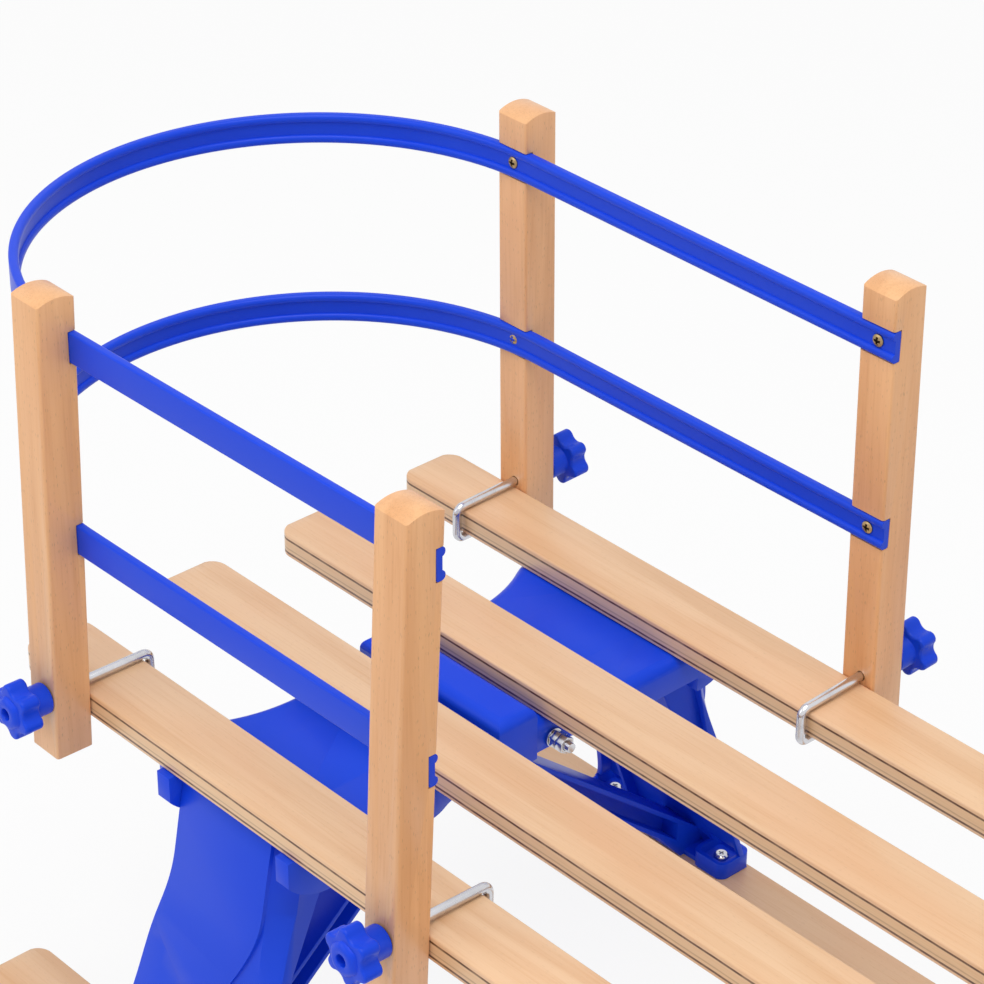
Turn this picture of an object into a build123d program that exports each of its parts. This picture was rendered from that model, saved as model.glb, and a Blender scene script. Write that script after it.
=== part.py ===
from build123d import *
import math
import os

os.makedirs("parts", exist_ok=True)

# ---------------------------------------------------------------- driving dimensions (mm)
# Working frame: x from the rear posts at the seat, y to the left, z up from the floor.
# A "drop" is measured down from the seat top.

# plywood strips
PLY = 13.0              # thickness of slats and runners
SLAT_W = 36.0           # width of slats and runners
SLAT_IN = 37.9          # inner slat centre from the middle plane
SLAT_OUT = 119.6        # outer slat centre from the middle plane
RUN_OUT = 37.5          # runner centre outside the outer slat's centre
END_R = 9.0             # rounded corner at a strip's end
STEEL = 2.0             # steel strip under each runner
STEEL_W = 16.0
STEEL_BACK = 12.0       # runner's tail left bare behind the steel
SEAT_DROP = 181.8       # seat top above the top of the runner
SLED_LEN = 1100.0       # tail of the slats to the front of the curl
TAIL = -47.5            # tail of the slats
RUN_TAIL = -49.0        # tail of the runners

# runner curl: an easy arc, a tighter arc, then a short straight tip
CURL_R1 = 220.0
CURL_A1 = 45.0
CURL_R2 = 95.0
CURL_A2 = 75.0
CURL_TIP = 30.0

# backrest posts
POST_GAP = 240.5        # rear post to front post at the seat
POST_A = 20.0           # section along x
POST_B = 20.3           # section across y
POST_UP = 209.3         # top corners above the seat
POST_DOWN = 27.7        # foot below the seat top
POST_CROWN = 2.5        # rise of the arched top
POST_EDGE = 1.4
LEAN_REAR = 0.58        # degrees forward
LEAN_FRONT = 0.69
TUCK_REAR = 1.26        # degrees inward
TUCK_FRONT = 1.99

# backrest bands
BAND_H = 15.5
BAND_T = 4.8            # over the beads
BAND_WEB = 3.2          # between the beads
BAND_BEAD = 4.4         # height of a bead
BAND_BEVEL = 1.0
BAND_PROUD = 0.5        # bead in front of the post's face
BAND_UP = 185.2         # band centres above the seat
BAND_LOW = 86.5
BAND_CX_UP = 10.0       # centre of the upper half circle
BAND_CX_LOW = 17.0      # centre of the lower half circle
SCREW_HEAD_R = 3.0
SCREW_R = 1.6
SCREW_SINK = 1.7
SCREW_LEN = 15.0
CROSS_W = 0.9           # slot width of a cross recess
CROSS_L = 3.4
CROSS_DEEP = 1.0

# clamp hooks and star knobs
ROD = 4.6
ROD_BEND = 4.0
HOOK_OFF = 1.4          # rod clear of the slat's inner edge
HOOK_TAIL = 13.0
HOOK_AHEAD = 1.8        # rod in front of the post's centre line
KNOB_R = 14.0           # over the lobes
KNOB_LOBE_R = 3.2
KNOB_VALLEY = 10.6      # radius between the lobes
KNOB_LOBES = 6
KNOB_TURN = 40.2        # angle of one lobe above the x axis
KNOB_T = 10.2
KNOB_BEVEL = 1.2
KNOB_HUB_R = 7.7
KNOB_HUB = 9.6
KNOB_CROWN = 2.3        # raised centre in front of the star
KNOB_CROWN_R = 8.4
KNOB_FACE_R = 5.6
KNOB_BORE_R = 3.0
KNOB_BORE = 6.0
KNOB_SEAT = 7.0         # depth of the rod in the knob beyond the hub

# crossbeams
BEAM_C = 104.0          # middle of the rear crossbeam's waist
BEAM_STEP = 560.0       # rear to front crossbeam
BEAM_WAIST = 47.6       # half length along x at the middle
BEAM_FRONT = 54.1       # front edge near the ends
WAIST_END = 30.0        # straight part of the waist's front edge
SWELL_END = 61.0
FLARE_START = 55.0      # straight part of the waist's rear edge
FLARE_R = 88.0
FLARE_A = 30.8          # degrees turned by the rear flare
BEAM_END = 134.0        # half width across y
BEAM_CORNER = 9.0
BEAM_SKIRT = 17.2
BEAM_WALL = 3.0
BEAM_ROUND = 6.0
RIB = 2.4
BEAM_RIB_X = 14.0
BEAM_RIB_L = 62.0
BEAM_RIB_Y = 72.0
EAR_T = 9.0             # thickness along x
EAR_IN = 116.0
EAR_OUT = 140.6
EAR_LOW = 38.1          # drop of the lowest point
EAR_R = 29.8            # round lower edge
POD_Y = 12.0            # half width of the centre pod
POD_DROP = 1.0          # pod top below the seat top
POD_FRONT = 51.0
POD_REAR = 49.0
POD_ROUND = 6.0
BOLT_Y = 25.0           # centre bolts from the middle plane
BOLT_DROP = 25.5
BOLT_R = 2.5
BOLT_HEX = 8.0
WASHER_R = 4.8
WASHER_T = 1.1
NUT_T = 4.1
HEAD_T = 3.4
BOLT_OUT = 3.0          # bolt end beyond the lock nut

# legs, with x from the middle of the crossbeam's waist
LEG_WALL = 3.2
LEG_RIM = 10.0          # flange depth with the wall
LEG_FLARE = 0.19        # outward step per unit of drop
LEG_Y = 129.3           # outer face at the seat top's level, if it went that far
FOOT_OUT = 10.0         # further flare of the foot below the knee
LEG_REAR = -31.7        # rear shoulder
LEG_CREASE = 35.0       # front edge of the flat outer face
HIP_DROP = 52.0
HIP_FALL = 10.0         # front edge inside the outer face at the hip
KNEE_FALL = 3.0         # the same from the knee down
KNEE_X = -41.0
KNEE_FRONT = 47.5
KNEE_DROP = 95.0
ANKLE_X = -48.0
ANKLE_DROP = 136.0
TOE_REAR = -60.0
TOE_FRONT = 42.0
TOE_DROP = 171.0
FOOT_OPEN = 32.0        # height of the foot's opening to the front
PANEL_UP = 2.2          # tulip relief above the wall at its front edge
PANEL_TIP_X = -1.0
PANEL_TIP_DROP = 133.0
PANEL_RIGHT_X = 29.0
PANEL_RIGHT_DROP = 77.6
PANEL_LEFT_X = -24.3
PANEL_LEFT_DROP = 108.6
WEB_REAR = -36.0        # webs behind and in front of the diagonal
WEB_FRONT = 37.0
WEB_TOP = 36.0          # web depth at the top
BRACE_X = 12.0          # half width of the diagonal along x
BRACE_T = 17.0
BRACE_FLANGE = 3.0
BRACE_WEB = 2.0
BRACE_DROP = 52.0       # diagonal's top edge at the centre bolt
BRACE_SLOPE = 0.831
LUG = 8.0               # lug round the centre bolt, to each side
LUG_UP = 5.0
PAD_H = 4.5             # foot pad over the runner
PAD_X = 22.0
PAD_Y = 22.0
PAD_WALL = 2.7
PAD_RIM = 5.0
PAD_INSET = 11.0        # pad's middle from the foot's end
SOLE_T = 3.0
PAN_R = 4.0
PAN_H = 2.6
PAN_BEVEL = 1.0
FOOT_SCREW_R = 2.0
FOOT_SCREW_IN = 9.0     # screw length in the runner

# slat screws
SLAT_SCREW_DX = 24.0
SLAT_SCREW_INSET = 13.0
SLAT_SCREW_HEAD_R = 3.6
SLAT_SCREW_HEAD = 2.2
SLAT_SCREW_IN = 8.0     # screw length in the slat

# front bar
BAR_BACK = 80.0         # bar centre behind the foremost point of the curl's centre line
BAR_L = 40.0
BAR_H = 20.0
BAR_HALF = 134.0
BAR_RIB = 4.0
LIP_T = 10.0
LIP_HALF = 95.0
LIP_OUT = 22.0          # lip in front of the bar
LIP_R = 14.0
ROPE_R = 4.5
ROPE_Y = 70.0
ROPE_OUT = 11.0         # rope hole in front of the bar
ARM_R = 6.0
TIP_SCREW_R = 2.0
TIP_HEAD_R = 4.2
TIP_SCREW_IN = 16.0     # screw length in the bar

GAP = 0.3               # seating clearance between pieces
HOLE = 0.25             # radial clearance round a screw or bolt
END_CLEAR = 0.5         # bore beyond a screw's tip
CUT = 1.0               # overrun of a cutting body
FAR = 300.0             # half length of a body that only limits another

# ---------------------------------------------------------------- derived
RUN_TOP = STEEL + PLY
SEAT = RUN_TOP + SEAT_DROP
SLAT_BOT = SEAT - PLY
RUN_Y = SLAT_OUT + RUN_OUT
X_MAX = TAIL + SLED_LEN
CURL_X = X_MAX - PLY / 2
SIN1 = math.sin(math.radians(CURL_A1))
COS1 = math.cos(math.radians(CURL_A1))
RUN_FLAT = CURL_X - CURL_R2 - (CURL_R1 - CURL_R2) * SIN1
CURL_CX = CURL_X - CURL_R2
CURL_CZ = STEEL + PLY / 2 + CURL_R1 - (CURL_R1 - CURL_R2) * COS1
BAR_X = CURL_X - BAR_BACK
SLAT_FRONT = BAR_X + BAR_L / 2
POST_FACE = SLAT_OUT + SLAT_W / 2 + GAP
ROD_Z = SEAT + ROD / 2 + GAP
ROD_Y = SLAT_OUT - SLAT_W / 2 - ROD / 2 - HOOK_OFF
BEAM_TOP = SLAT_BOT - GAP
BEAM_ROOF = BEAM_TOP - BEAM_WALL
BEAM_LOW = BEAM_TOP - BEAM_SKIRT
LEG_TOP_Z = BEAM_TOP
LEG_SEAT_Z = BEAM_ROOF - GAP
SOLE = RUN_TOP + GAP
PAD_MID = RUN_Y + (SLAT_W - PAD_Y) / 2
HIP_FRONT = BEAM_FRONT - EAR_T - GAP
BOLT_Z = SEAT - BOLT_DROP
BAR_LOW = BEAM_TOP - BAR_H
TIP_SCREW_DY = (STEEL_W + SLAT_W) / 4

BEAMS = {"rear": BEAM_C, "front": BEAM_C + BEAM_STEP}
SIDES = {"left": 1, "right": -1}
POSTS = {"rear": (0.0, LEAN_REAR, TUCK_REAR), "front": (POST_GAP, LEAN_FRONT, TUCK_FRONT)}
BANDS = {"upper": BAND_UP, "lower": BAND_LOW}
BAND_CX = {BAND_UP: BAND_CX_UP, BAND_LOW: BAND_CX_LOW}
UP = (Align.CENTER, Align.CENTER, Align.MIN)
DOWN = (Align.CENTER, Align.CENTER, Align.MAX)


def tan(degrees):
    return math.tan(math.radians(degrees))


def save(shape, name):
    """Write one named piece, moved so that the origin is under the middle."""
    export_step(Pos(SHIFT, 0, 0) * shape, f"parts/{name}.step")


def both_sides(shape, s):
    return shape if s > 0 else mirror(shape, Plane.XZ)


def rod_x(x0, x1, y, z, r):
    return extrude(Plane(origin=(x0, y, z), z_dir=(1, 0, 0)) * Circle(r), x1 - x0)


def rod_z(x, y, z0, z1, r):
    return Pos(x, y, z0) * extrude(Circle(r), z1 - z0)


def hex_ring(x0, x1, y, z):
    """Nut along x with a bore that clears the bolt."""
    plane = Plane(origin=(x0, y, z), z_dir=(1, 0, 0))
    nut = RegularPolygon(BOLT_HEX / 2, 6, major_radius=False) - Circle(BOLT_R + HOLE)
    return extrude(plane * nut, x1 - x0)


def along_x(points, x0, x1):
    """Prism along x over a closed outline given in (y, z)."""
    face = make_face(Polyline(*points, points[0]).edges())
    return Pos(x0, 0, 0) * extrude(Plane.YZ * face, x1 - x0)


def across_y(edges):
    """Wide prism along y over an outline given in (x, z)."""
    return extrude(Plane.XZ * make_face(edges), FAR, both=True)


def cross_recess():
    """Cross-shaped recess, cut down from the plane z = 0."""
    arms = Box(CROSS_L, CROSS_W, CROSS_DEEP, align=DOWN) + Box(CROSS_W, CROSS_L, CROSS_DEEP, align=DOWN)
    return arms


def pan_head(r):
    """Low screw head with a bevelled rim and a cross recess, standing on z = 0."""
    head = extrude(Circle(r), PAN_H)
    head = chamfer(head.edges().group_by(Axis.Z)[-1], PAN_BEVEL)
    return head - Pos(0, 0, PAN_H) * cross_recess()


def slat_screw_sites():
    """Screws that hold the slats, as (x, y)."""
    sites = []
    for s in SIDES.values():
        for y in (SLAT_IN, SLAT_OUT - SLAT_SCREW_INSET):
            for xc in BEAMS.values():
                sites += [(xc - SLAT_SCREW_DX, s * y), (xc + SLAT_SCREW_DX, s * y)]
        sites += [(BAR_X, s * SLAT_IN), (BAR_X, s * SLAT_OUT)]
    return sites


def foot_screw_sites():
    """Screws that hold the feet to the runners, as (x, y)."""
    sites = []
    for xc in BEAMS.values():
        for x in (TOE_REAR + PAD_INSET, TOE_FRONT - PAD_INSET):
            sites += [(xc + x, PAD_MID), (xc + x, -PAD_MID)]
    return sites


# ---------------------------------------------------------------- plywood
def slat(y):
    """Seat slat with rounded corners, open below for its screws."""
    plan = RectangleRounded(SLAT_FRONT - TAIL, SLAT_W, END_R)
    body = Pos((SLAT_FRONT + TAIL) / 2, y, SLAT_BOT) * extrude(plan, PLY)
    for sx, sy in slat_screw_sites():
        if abs(sy - y) < SLAT_W / 2:
            body -= rod_z(sx, sy, SLAT_BOT - CUT, SLAT_BOT + SLAT_SCREW_IN + END_CLEAR, SCREW_R + HOLE)
    return body


def curl_points(out):
    """Bend points of the runner line, moved outwards from its centre line."""
    a1 = math.radians(CURL_A1)
    a2 = math.radians(CURL_A1 + CURL_A2)
    c1 = (RUN_FLAT, STEEL + PLY / 2 + CURL_R1)
    c2 = (CURL_CX, CURL_CZ)

    def at(c, r, a):
        return (c[0] + r * math.sin(a), c[1] - r * math.cos(a))

    p0 = at(c1, CURL_R1 + out, 0)
    p1 = at(c1, CURL_R1 + out, a1 / 2)
    p2 = at(c1, CURL_R1 + out, a1)
    p3 = at(c2, CURL_R2 + out, (a1 + a2) / 2)
    p4 = at(c2, CURL_R2 + out, a2)
    p5 = (p4[0] + CURL_TIP * math.cos(a2), p4[1] + CURL_TIP * math.sin(a2))
    return p0, p1, p2, p3, p4, p5


def curled_strip(lo, hi, x0, y, width, tip):
    """Strip bent along the runner line between two offsets from it."""
    a = curl_points(hi)
    b = curl_points(lo)
    edges = [
        Line((x0, a[0][1]), a[0]),
        ThreePointArc(a[0], a[1], a[2]),
        ThreePointArc(a[2], a[3], a[4]),
        ThreePointArc(b[4], b[3], b[2]),
        ThreePointArc(b[2], b[1], b[0]),
        Line(b[0], (x0, b[0][1])),
        Line((x0, b[0][1]), (x0, a[0][1])),
    ]
    if tip:
        edges += [Line(a[4], a[5]), Line(a[5], b[5]), Line(b[5], b[4])]
    else:
        edges += [Line(a[4], b[4])]
    face = make_face(Wire(edges).edges())
    return Pos(0, y, 0) * extrude(Plane.XZ * face, width / 2, both=True)


def tip_screw_plane(s, dy):
    """Plane on the curl's outer face, looking forwards along a tip screw."""
    z = BEAM_TOP - BAR_H / 2
    r = CURL_R2 + PLY / 2
    a = math.asin((z - CURL_CZ) / r)
    origin = (CURL_CX + r * math.cos(a), s * RUN_Y + dy, CURL_CZ + r * math.sin(a))
    return Plane(origin=origin, z_dir=(math.cos(a), 0, math.sin(a)), x_dir=(0, 1, 0))


def runner(s):
    """Curled runner with rounded corners, screw holes in the curl and under the feet."""
    body = curled_strip(-PLY / 2, PLY / 2, RUN_TAIL, s * RUN_Y, SLAT_W, True)
    body = fillet(body.edges().filter_by(Axis.Z).group_by(Axis.X)[0], END_R)
    tip_corners = body.edges().filter_by(Plane.XZ).filter_by(GeomType.LINE).group_by(Axis.Z)[-1]
    body = fillet(tip_corners, END_R)
    for x, y in foot_screw_sites():
        if y * s > 0:
            body -= rod_z(x, y, RUN_TOP - FOOT_SCREW_IN - END_CLEAR, RUN_TOP + CUT, FOOT_SCREW_R + HOLE)
    for dy in (-TIP_SCREW_DY, TIP_SCREW_DY):
        bore = Pos(0, 0, -PLY - CUT) * extrude(Circle(TIP_SCREW_R + HOLE), PLY + 2 * CUT)
        body -= tip_screw_plane(s, dy) * bore
    return body


def running_strip(s):
    return curled_strip(PLY / 2, PLY / 2 + STEEL, RUN_TAIL + STEEL_BACK, s * RUN_Y, STEEL_W, False)


# ---------------------------------------------------------------- backrest
def post_x(name, height):
    x, lean, tuck = POSTS[name]
    return x + height * tan(lean)


def post_face(name, height):
    """Inner face of a post from the middle plane."""
    return POST_FACE - height * tan(POSTS[name][2])


class BandLine:
    """Course of a band in plan: runs along the posts' faces and a tangent half circle."""

    def __init__(self, height):
        x0 = post_x("rear", height)
        x1 = post_x("front", height)
        y0 = post_face("rear", height)
        slope = (y0 - post_face("front", height)) / (x1 - x0)
        self.z = SEAT + height
        self.cx = BAND_CX[height]
        self.turn = math.atan(slope)
        self.out = (math.sin(self.turn), math.cos(self.turn))
        self.radius = (y0 - slope * (self.cx - x0)) * self.out[1]
        self.length = (x1 + POST_A / 2 - self.cx) / self.out[1] - self.radius * math.tan(self.turn)

    def plane(self, along, away):
        """Plane across the left run, at a distance along it and away from the posts' faces."""
        r = self.radius + away
        x = self.cx + r * self.out[0] + along * self.out[1]
        y = r * self.out[1] - along * self.out[0]
        return Plane(origin=(x, y, self.z), x_dir=(*self.out, 0), z_dir=(self.out[1], -self.out[0], 0))


def band_section(grow):
    """Section in (distance from the posts' faces, height): flat back, a bead at each edge."""
    back = BAND_T - BAND_PROUD
    half = BAND_H / 2
    if grow:
        return Pos(back - BAND_T / 2, 0) * Rectangle(BAND_T + 2 * grow, BAND_H + 2 * grow)
    web = back - BAND_WEB
    low = half - BAND_BEAD
    upper = [
        (web, low),
        (-BAND_PROUD, low + BAND_BEVEL),
        (-BAND_PROUD, half - BAND_BEVEL),
        (-BAND_PROUD + BAND_BEVEL, half),
        (back - BAND_BEVEL, half),
        (back, half - BAND_BEVEL),
    ]
    lower = [(x, -z) for x, z in reversed(upper)]
    outline = upper + lower
    return make_face(Polyline(*outline, outline[0]).edges())


def band(height, grow=0.0):
    """U-shaped band: a straight run on each side and a half circle behind."""
    line = BandLine(height)
    section = line.plane(0, 0) * band_section(grow)
    run = extrude(section, line.length + grow * CUT * POST_A)
    axis = Axis((line.cx, 0, line.z), (0, 0, 1))
    bow = revolve(section, axis, 180 + 2 * math.degrees(line.turn))
    return run + mirror(run, Plane.XZ) + bow


def band_screw_plane(name, height):
    """Plane on the left run's web at a post, looking at the middle plane."""
    line = BandLine(height)
    start = line.cx + line.radius * line.out[0]
    along = (post_x(name, height) - start) / line.out[1]
    origin = line.plane(along, BAND_T - BAND_PROUD - BAND_WEB).origin
    return Plane(origin=origin, x_dir=(line.out[1], -line.out[0], 0), z_dir=(-line.out[0], -line.out[1], 0))


def band_with_holes(height):
    """Band countersunk for the screws into the posts."""
    body = band(height)
    sink = Cone(SCREW_R + HOLE, SCREW_HEAD_R + HOLE, SCREW_SINK, align=DOWN)
    bore = Pos(0, 0, -BAND_T) * extrude(Circle(SCREW_R + HOLE), 2 * BAND_T)
    for name in POSTS:
        for s in SIDES.values():
            body -= both_sides(band_screw_plane(name, height) * (sink + bore), s)
    return body


def band_screw(name, s, height):
    """Countersunk wood screw with a cross recess."""
    head = Cone(SCREW_R, SCREW_HEAD_R, SCREW_SINK, align=DOWN)
    shank = Pos(0, 0, -SCREW_LEN) * extrude(Circle(SCREW_R), SCREW_LEN - SCREW_SINK)
    return both_sides(band_screw_plane(name, height) * (head + shank - cross_recess()), s)


def post(name, s):
    """Leaning post with an arched top, notched for the bands and bored for the clamp rod."""
    x, lean, tuck = POSTS[name]
    h = POST_UP + POST_DOWN
    half = POST_B / 2
    r = (half * half + POST_CROWN * POST_CROWN) / (2 * POST_CROWN)
    blank = Pos(0, half, -POST_DOWN) * Box(POST_A, POST_B, h + POST_CROWN, align=UP)
    blank = fillet(blank.edges().filter_by(Axis.Z), POST_EDGE)
    arch = extrude(Plane.YZ * Pos(half, POST_UP + POST_CROWN - r) * Circle(r), POST_A, both=True)
    body = blank & (arch + Pos(0, half, POST_UP - POST_B - h) * Box(2 * POST_A, 2 * POST_B, h, align=UP))
    z = ROD_Z - SEAT + (POST_FACE - ROD_Y) * tan(tuck)
    bore = Plane(origin=(HOOK_AHEAD, -CUT, z), z_dir=(0, 1, 0)) * extrude(Circle(ROD / 2 + GAP), POST_B + 2 * CUT)
    body = Pos(x, POST_FACE, SEAT) * (Rot(tuck, lean, 0) * (body - bore))
    for height in BANDS.values():
        body -= band(height, GAP)
        hole = Pos(0, 0, -SCREW_LEN - END_CLEAR) * extrude(Circle(SCREW_R + HOLE), SCREW_LEN)
        body -= band_screw_plane(name, height) * hole
    return both_sides(body, s)


def rod_point(name, y):
    """Point of a clamp rod's upper run, which stands square to its post."""
    x, lean, tuck = POSTS[name]
    return (x + HOOK_AHEAD, y, ROD_Z + (y - ROD_Y) * tan(tuck))


def hook(name, s):
    """Clamp rod: through the post, over the slat, down its inner edge and back under."""
    x, y, z = rod_point(name, POST_FACE + POST_B + GAP + KNOB_HUB + KNOB_SEAT - END_CLEAR)
    z_low = SLAT_BOT - ROD / 2 - GAP
    line = FilletPolyline(
        (x, y, z), (x, ROD_Y, ROD_Z), (x, ROD_Y, z_low), (x, ROD_Y + HOOK_TAIL, z_low), radius=ROD_BEND
    )
    start = Plane(origin=line @ 0, z_dir=line % 0)
    return both_sides(sweep(start * Circle(ROD / 2), path=line), s)


def star_outline():
    """Rounded lobes joined by hollow arcs that touch them smoothly."""
    step = 2 * math.pi / KNOB_LOBES
    a = KNOB_R - KNOB_LOBE_R
    c = a * math.cos(step / 2)
    v = KNOB_VALLEY
    dip = (a * a + v * v - 2 * c * v - KNOB_LOBE_R**2) / (2 * (KNOB_LOBE_R - v + c))
    touch = KNOB_LOBE_R / (KNOB_LOBE_R + dip)

    def polar(r, angle):
        return (r * math.cos(angle), r * math.sin(angle))

    def joint(lobe, side):
        p = polar(a, lobe * step)
        q = polar(v + dip, (lobe + side / 2) * step)
        return (p[0] + (q[0] - p[0]) * touch, p[1] + (q[1] - p[1]) * touch)

    arcs = []
    for i in range(KNOB_LOBES):
        arcs.append(ThreePointArc(joint(i, -1), polar(KNOB_R, i * step), joint(i, 1)))
        arcs.append(ThreePointArc(joint(i, 1), polar(v, (i + 0.5) * step), joint(i + 1, -1)))
    return make_face(Wire(arcs).edges())


def knob(name, s):
    """Star knob: rounded lobes on a stepped hub, with a raised centre and a blind hole."""
    tuck = math.radians(POSTS[name][2])
    star = extrude(star_outline(), KNOB_T)
    star = chamfer(star.edges().group_by(Axis.Z)[-1], KNOB_BEVEL)
    hub = Pos(0, 0, -KNOB_HUB) * extrude(Circle(KNOB_HUB_R), KNOB_HUB + CUT)
    crown = Pos(0, 0, KNOB_T) * Cone(KNOB_CROWN_R, KNOB_FACE_R, KNOB_CROWN, align=UP)
    body = star + hub + crown
    body -= Pos(0, 0, KNOB_T + KNOB_CROWN - KNOB_BORE) * extrude(Circle(KNOB_BORE_R), KNOB_BORE + CUT)
    body -= Pos(0, 0, -KNOB_HUB - CUT) * extrude(Circle(ROD / 2 + GAP), KNOB_HUB + CUT + KNOB_SEAT - GAP)
    origin = rod_point(name, POST_FACE + POST_B + GAP + KNOB_HUB)
    plane = Plane(origin=origin, x_dir=(1, 0, 0), z_dir=(0, math.cos(tuck), math.sin(tuck)))
    return both_sides(plane * (Rot(0, 0, -KNOB_TURN) * body), s)


# ---------------------------------------------------------------- crossbeams
def beam_plan():
    """Plan of a crossbeam: waisted, swelling in front and flaring behind towards the ends."""
    a = math.radians(FLARE_A)
    y_mid = (WAIST_END + SWELL_END) / 2
    x_mid = (BEAM_WAIST + BEAM_FRONT) / 2
    flare_end = (-BEAM_WAIST - FLARE_R * (1 - math.cos(a)), FLARE_START + FLARE_R * math.sin(a))
    lobe_r = (BEAM_END - flare_end[1]) / (1 + math.sin(a))
    lobe = (flare_end[0] + lobe_r * math.cos(a), BEAM_END - lobe_r)
    b = (math.pi / 2 - a) / 2
    lobe_mid = (lobe[0] - lobe_r * math.cos(b), lobe[1] + lobe_r * math.sin(b))
    half = [
        Line((BEAM_WAIST, 0), (BEAM_WAIST, WAIST_END)),
        TangentArc((BEAM_WAIST, WAIST_END), (x_mid, y_mid), tangent=(0, 1)),
        TangentArc((BEAM_FRONT, SWELL_END), (x_mid, y_mid), tangent=(0, -1)),
        Line((BEAM_FRONT, SWELL_END), (BEAM_FRONT, BEAM_END - BEAM_CORNER)),
        TangentArc((BEAM_FRONT, BEAM_END - BEAM_CORNER), (BEAM_FRONT - BEAM_CORNER, BEAM_END), tangent=(0, 1)),
        Line((BEAM_FRONT - BEAM_CORNER, BEAM_END), (lobe[0], BEAM_END)),
        ThreePointArc((lobe[0], BEAM_END), lobe_mid, flare_end),
        TangentArc((-BEAM_WAIST, FLARE_START), flare_end, tangent=(0, 1)),
        Line((-BEAM_WAIST, FLARE_START), (-BEAM_WAIST, 0)),
    ]
    return make_face(half + [mirror(e, Plane.XZ) for e in half])


def ear(x0, s):
    """Hanging tab with a straight outer edge and a round lower edge."""
    z0 = SEAT - EAR_LOW + EAR_R
    y0 = EAR_IN + POST_EDGE
    z1 = z0 - math.sqrt(EAR_R**2 - (EAR_OUT - y0) ** 2)
    face = make_face([
        Line((EAR_IN, BEAM_TOP), (EAR_OUT, BEAM_TOP)),
        Line((EAR_OUT, BEAM_TOP), (EAR_OUT, z1)),
        RadiusArc((EAR_OUT, z1), (y0, z0 - EAR_R), EAR_R),
        Line((y0, z0 - EAR_R), (EAR_IN, z0 - EAR_R)),
        Line((EAR_IN, z0 - EAR_R), (EAR_IN, BEAM_TOP)),
    ])
    return both_sides(Pos(x0, 0, 0) * extrude(Plane.YZ * face, EAR_T), s)


def crossbeam(xc):
    """Moulded crossbeam: plate with skirts, four ears, centre pod and ribs."""
    plan = beam_plan()
    body = Pos(0, 0, BEAM_LOW) * extrude(plan, BEAM_SKIRT)
    body = fillet(body.faces().sort_by(Axis.Z)[-1].edges(), BEAM_ROUND)
    body -= Pos(0, 0, BEAM_LOW - CUT) * extrude(offset(plan, -BEAM_WALL), BEAM_SKIRT + CUT - BEAM_WALL)
    ear_front = BEAM_FRONT - EAR_T
    ear_rear = LEG_REAR - GAP - EAR_T
    opening = ear_front - ear_rear - EAR_T
    middle = ear_rear + EAR_T + opening / 2
    for s in SIDES.values():
        y = s * (EAR_IN + EAR_OUT) / 2
        body -= Pos(middle, y, BEAM_ROOF) * Box(opening, EAR_OUT - EAR_IN, BEAM_SKIRT, align=DOWN)
        roof_end = leg_face(BEAM_TOP) - LEG_WALL - GAP
        body -= Pos(middle, s * (roof_end + FAR / 2), BEAM_LOW) * Box(opening, FAR, FAR, align=UP)
        body += ear(ear_front, s)
        body += ear(ear_rear, s)
        for x in (-BEAM_RIB_X, BEAM_RIB_X):
            rib = Box(RIB, BEAM_RIB_L, BEAM_SKIRT - 2 * BEAM_WALL, align=DOWN)
            body += Pos(x, s * BEAM_RIB_Y, BEAM_ROOF + CUT) * rib
    pod_l = POD_FRONT + POD_REAR
    pod_h = SEAT - POD_DROP - BEAM_LOW
    pod_x = (POD_FRONT - POD_REAR) / 2
    pod = Pos(pod_x, 0, BEAM_LOW) * Box(pod_l, 2 * POD_Y, pod_h, align=UP)
    body += fillet(pod.edges().group_by(Axis.Z)[-1], POD_ROUND)
    core = Box(pod_l - 2 * BEAM_WALL, 2 * (POD_Y - BEAM_WALL), pod_h - BEAM_WALL + CUT, align=UP)
    body -= Pos(pod_x, 0, BEAM_LOW - CUT) * core
    for s in SIDES.values():
        body -= rod_x(-FAR, FAR, s * BOLT_Y, BOLT_Z, BOLT_R + HOLE)
    body = Pos(xc, 0, 0) * body
    for x, y in slat_screw_sites():
        if abs(x - xc) < BEAM_STEP / 2:
            body -= rod_z(x, y, BEAM_LOW, BEAM_TOP + CUT, SCREW_R + HOLE)
    return body


def centre_bolts(xc):
    """Two bolts along x, each with its head, a washer, a nut and a lock nut."""
    rear = -BEAM_WAIST - GAP
    face = BEAM_WAIST + GAP
    nut = face + WASHER_T + GAP
    lock = nut + NUT_T + GAP
    end = lock + NUT_T + BOLT_OUT
    pieces = []
    for s in SIDES.values():
        y = s * BOLT_Y
        head = Plane(origin=(rear - HEAD_T, y, BOLT_Z), z_dir=(1, 0, 0)) * RegularPolygon(
            BOLT_HEX / 2, 6, major_radius=False
        )
        pieces.append(rod_x(rear - HEAD_T, end, y, BOLT_Z, BOLT_R) + extrude(head, HEAD_T))
        washer = rod_x(face, face + WASHER_T, y, BOLT_Z, WASHER_R)
        pieces.append(washer - rod_x(rear, end, y, BOLT_Z, BOLT_R + HOLE))
        pieces.append(hex_ring(nut, nut + NUT_T, y, BOLT_Z))
        pieces.append(hex_ring(lock, lock + NUT_T, y, BOLT_Z))
    return Pos(xc, 0, 0) * Compound(children=pieces)


# ---------------------------------------------------------------- legs
def leg_face(z):
    """Outer face of a leg from the middle plane at a height: straight, then flaring to the foot."""
    foot = max(SEAT - KNEE_DROP - z, 0) / (SEAT - KNEE_DROP - SOLE)
    return LEG_Y + LEG_FLARE * (SEAT - z) + FOOT_OUT * foot**2


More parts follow.
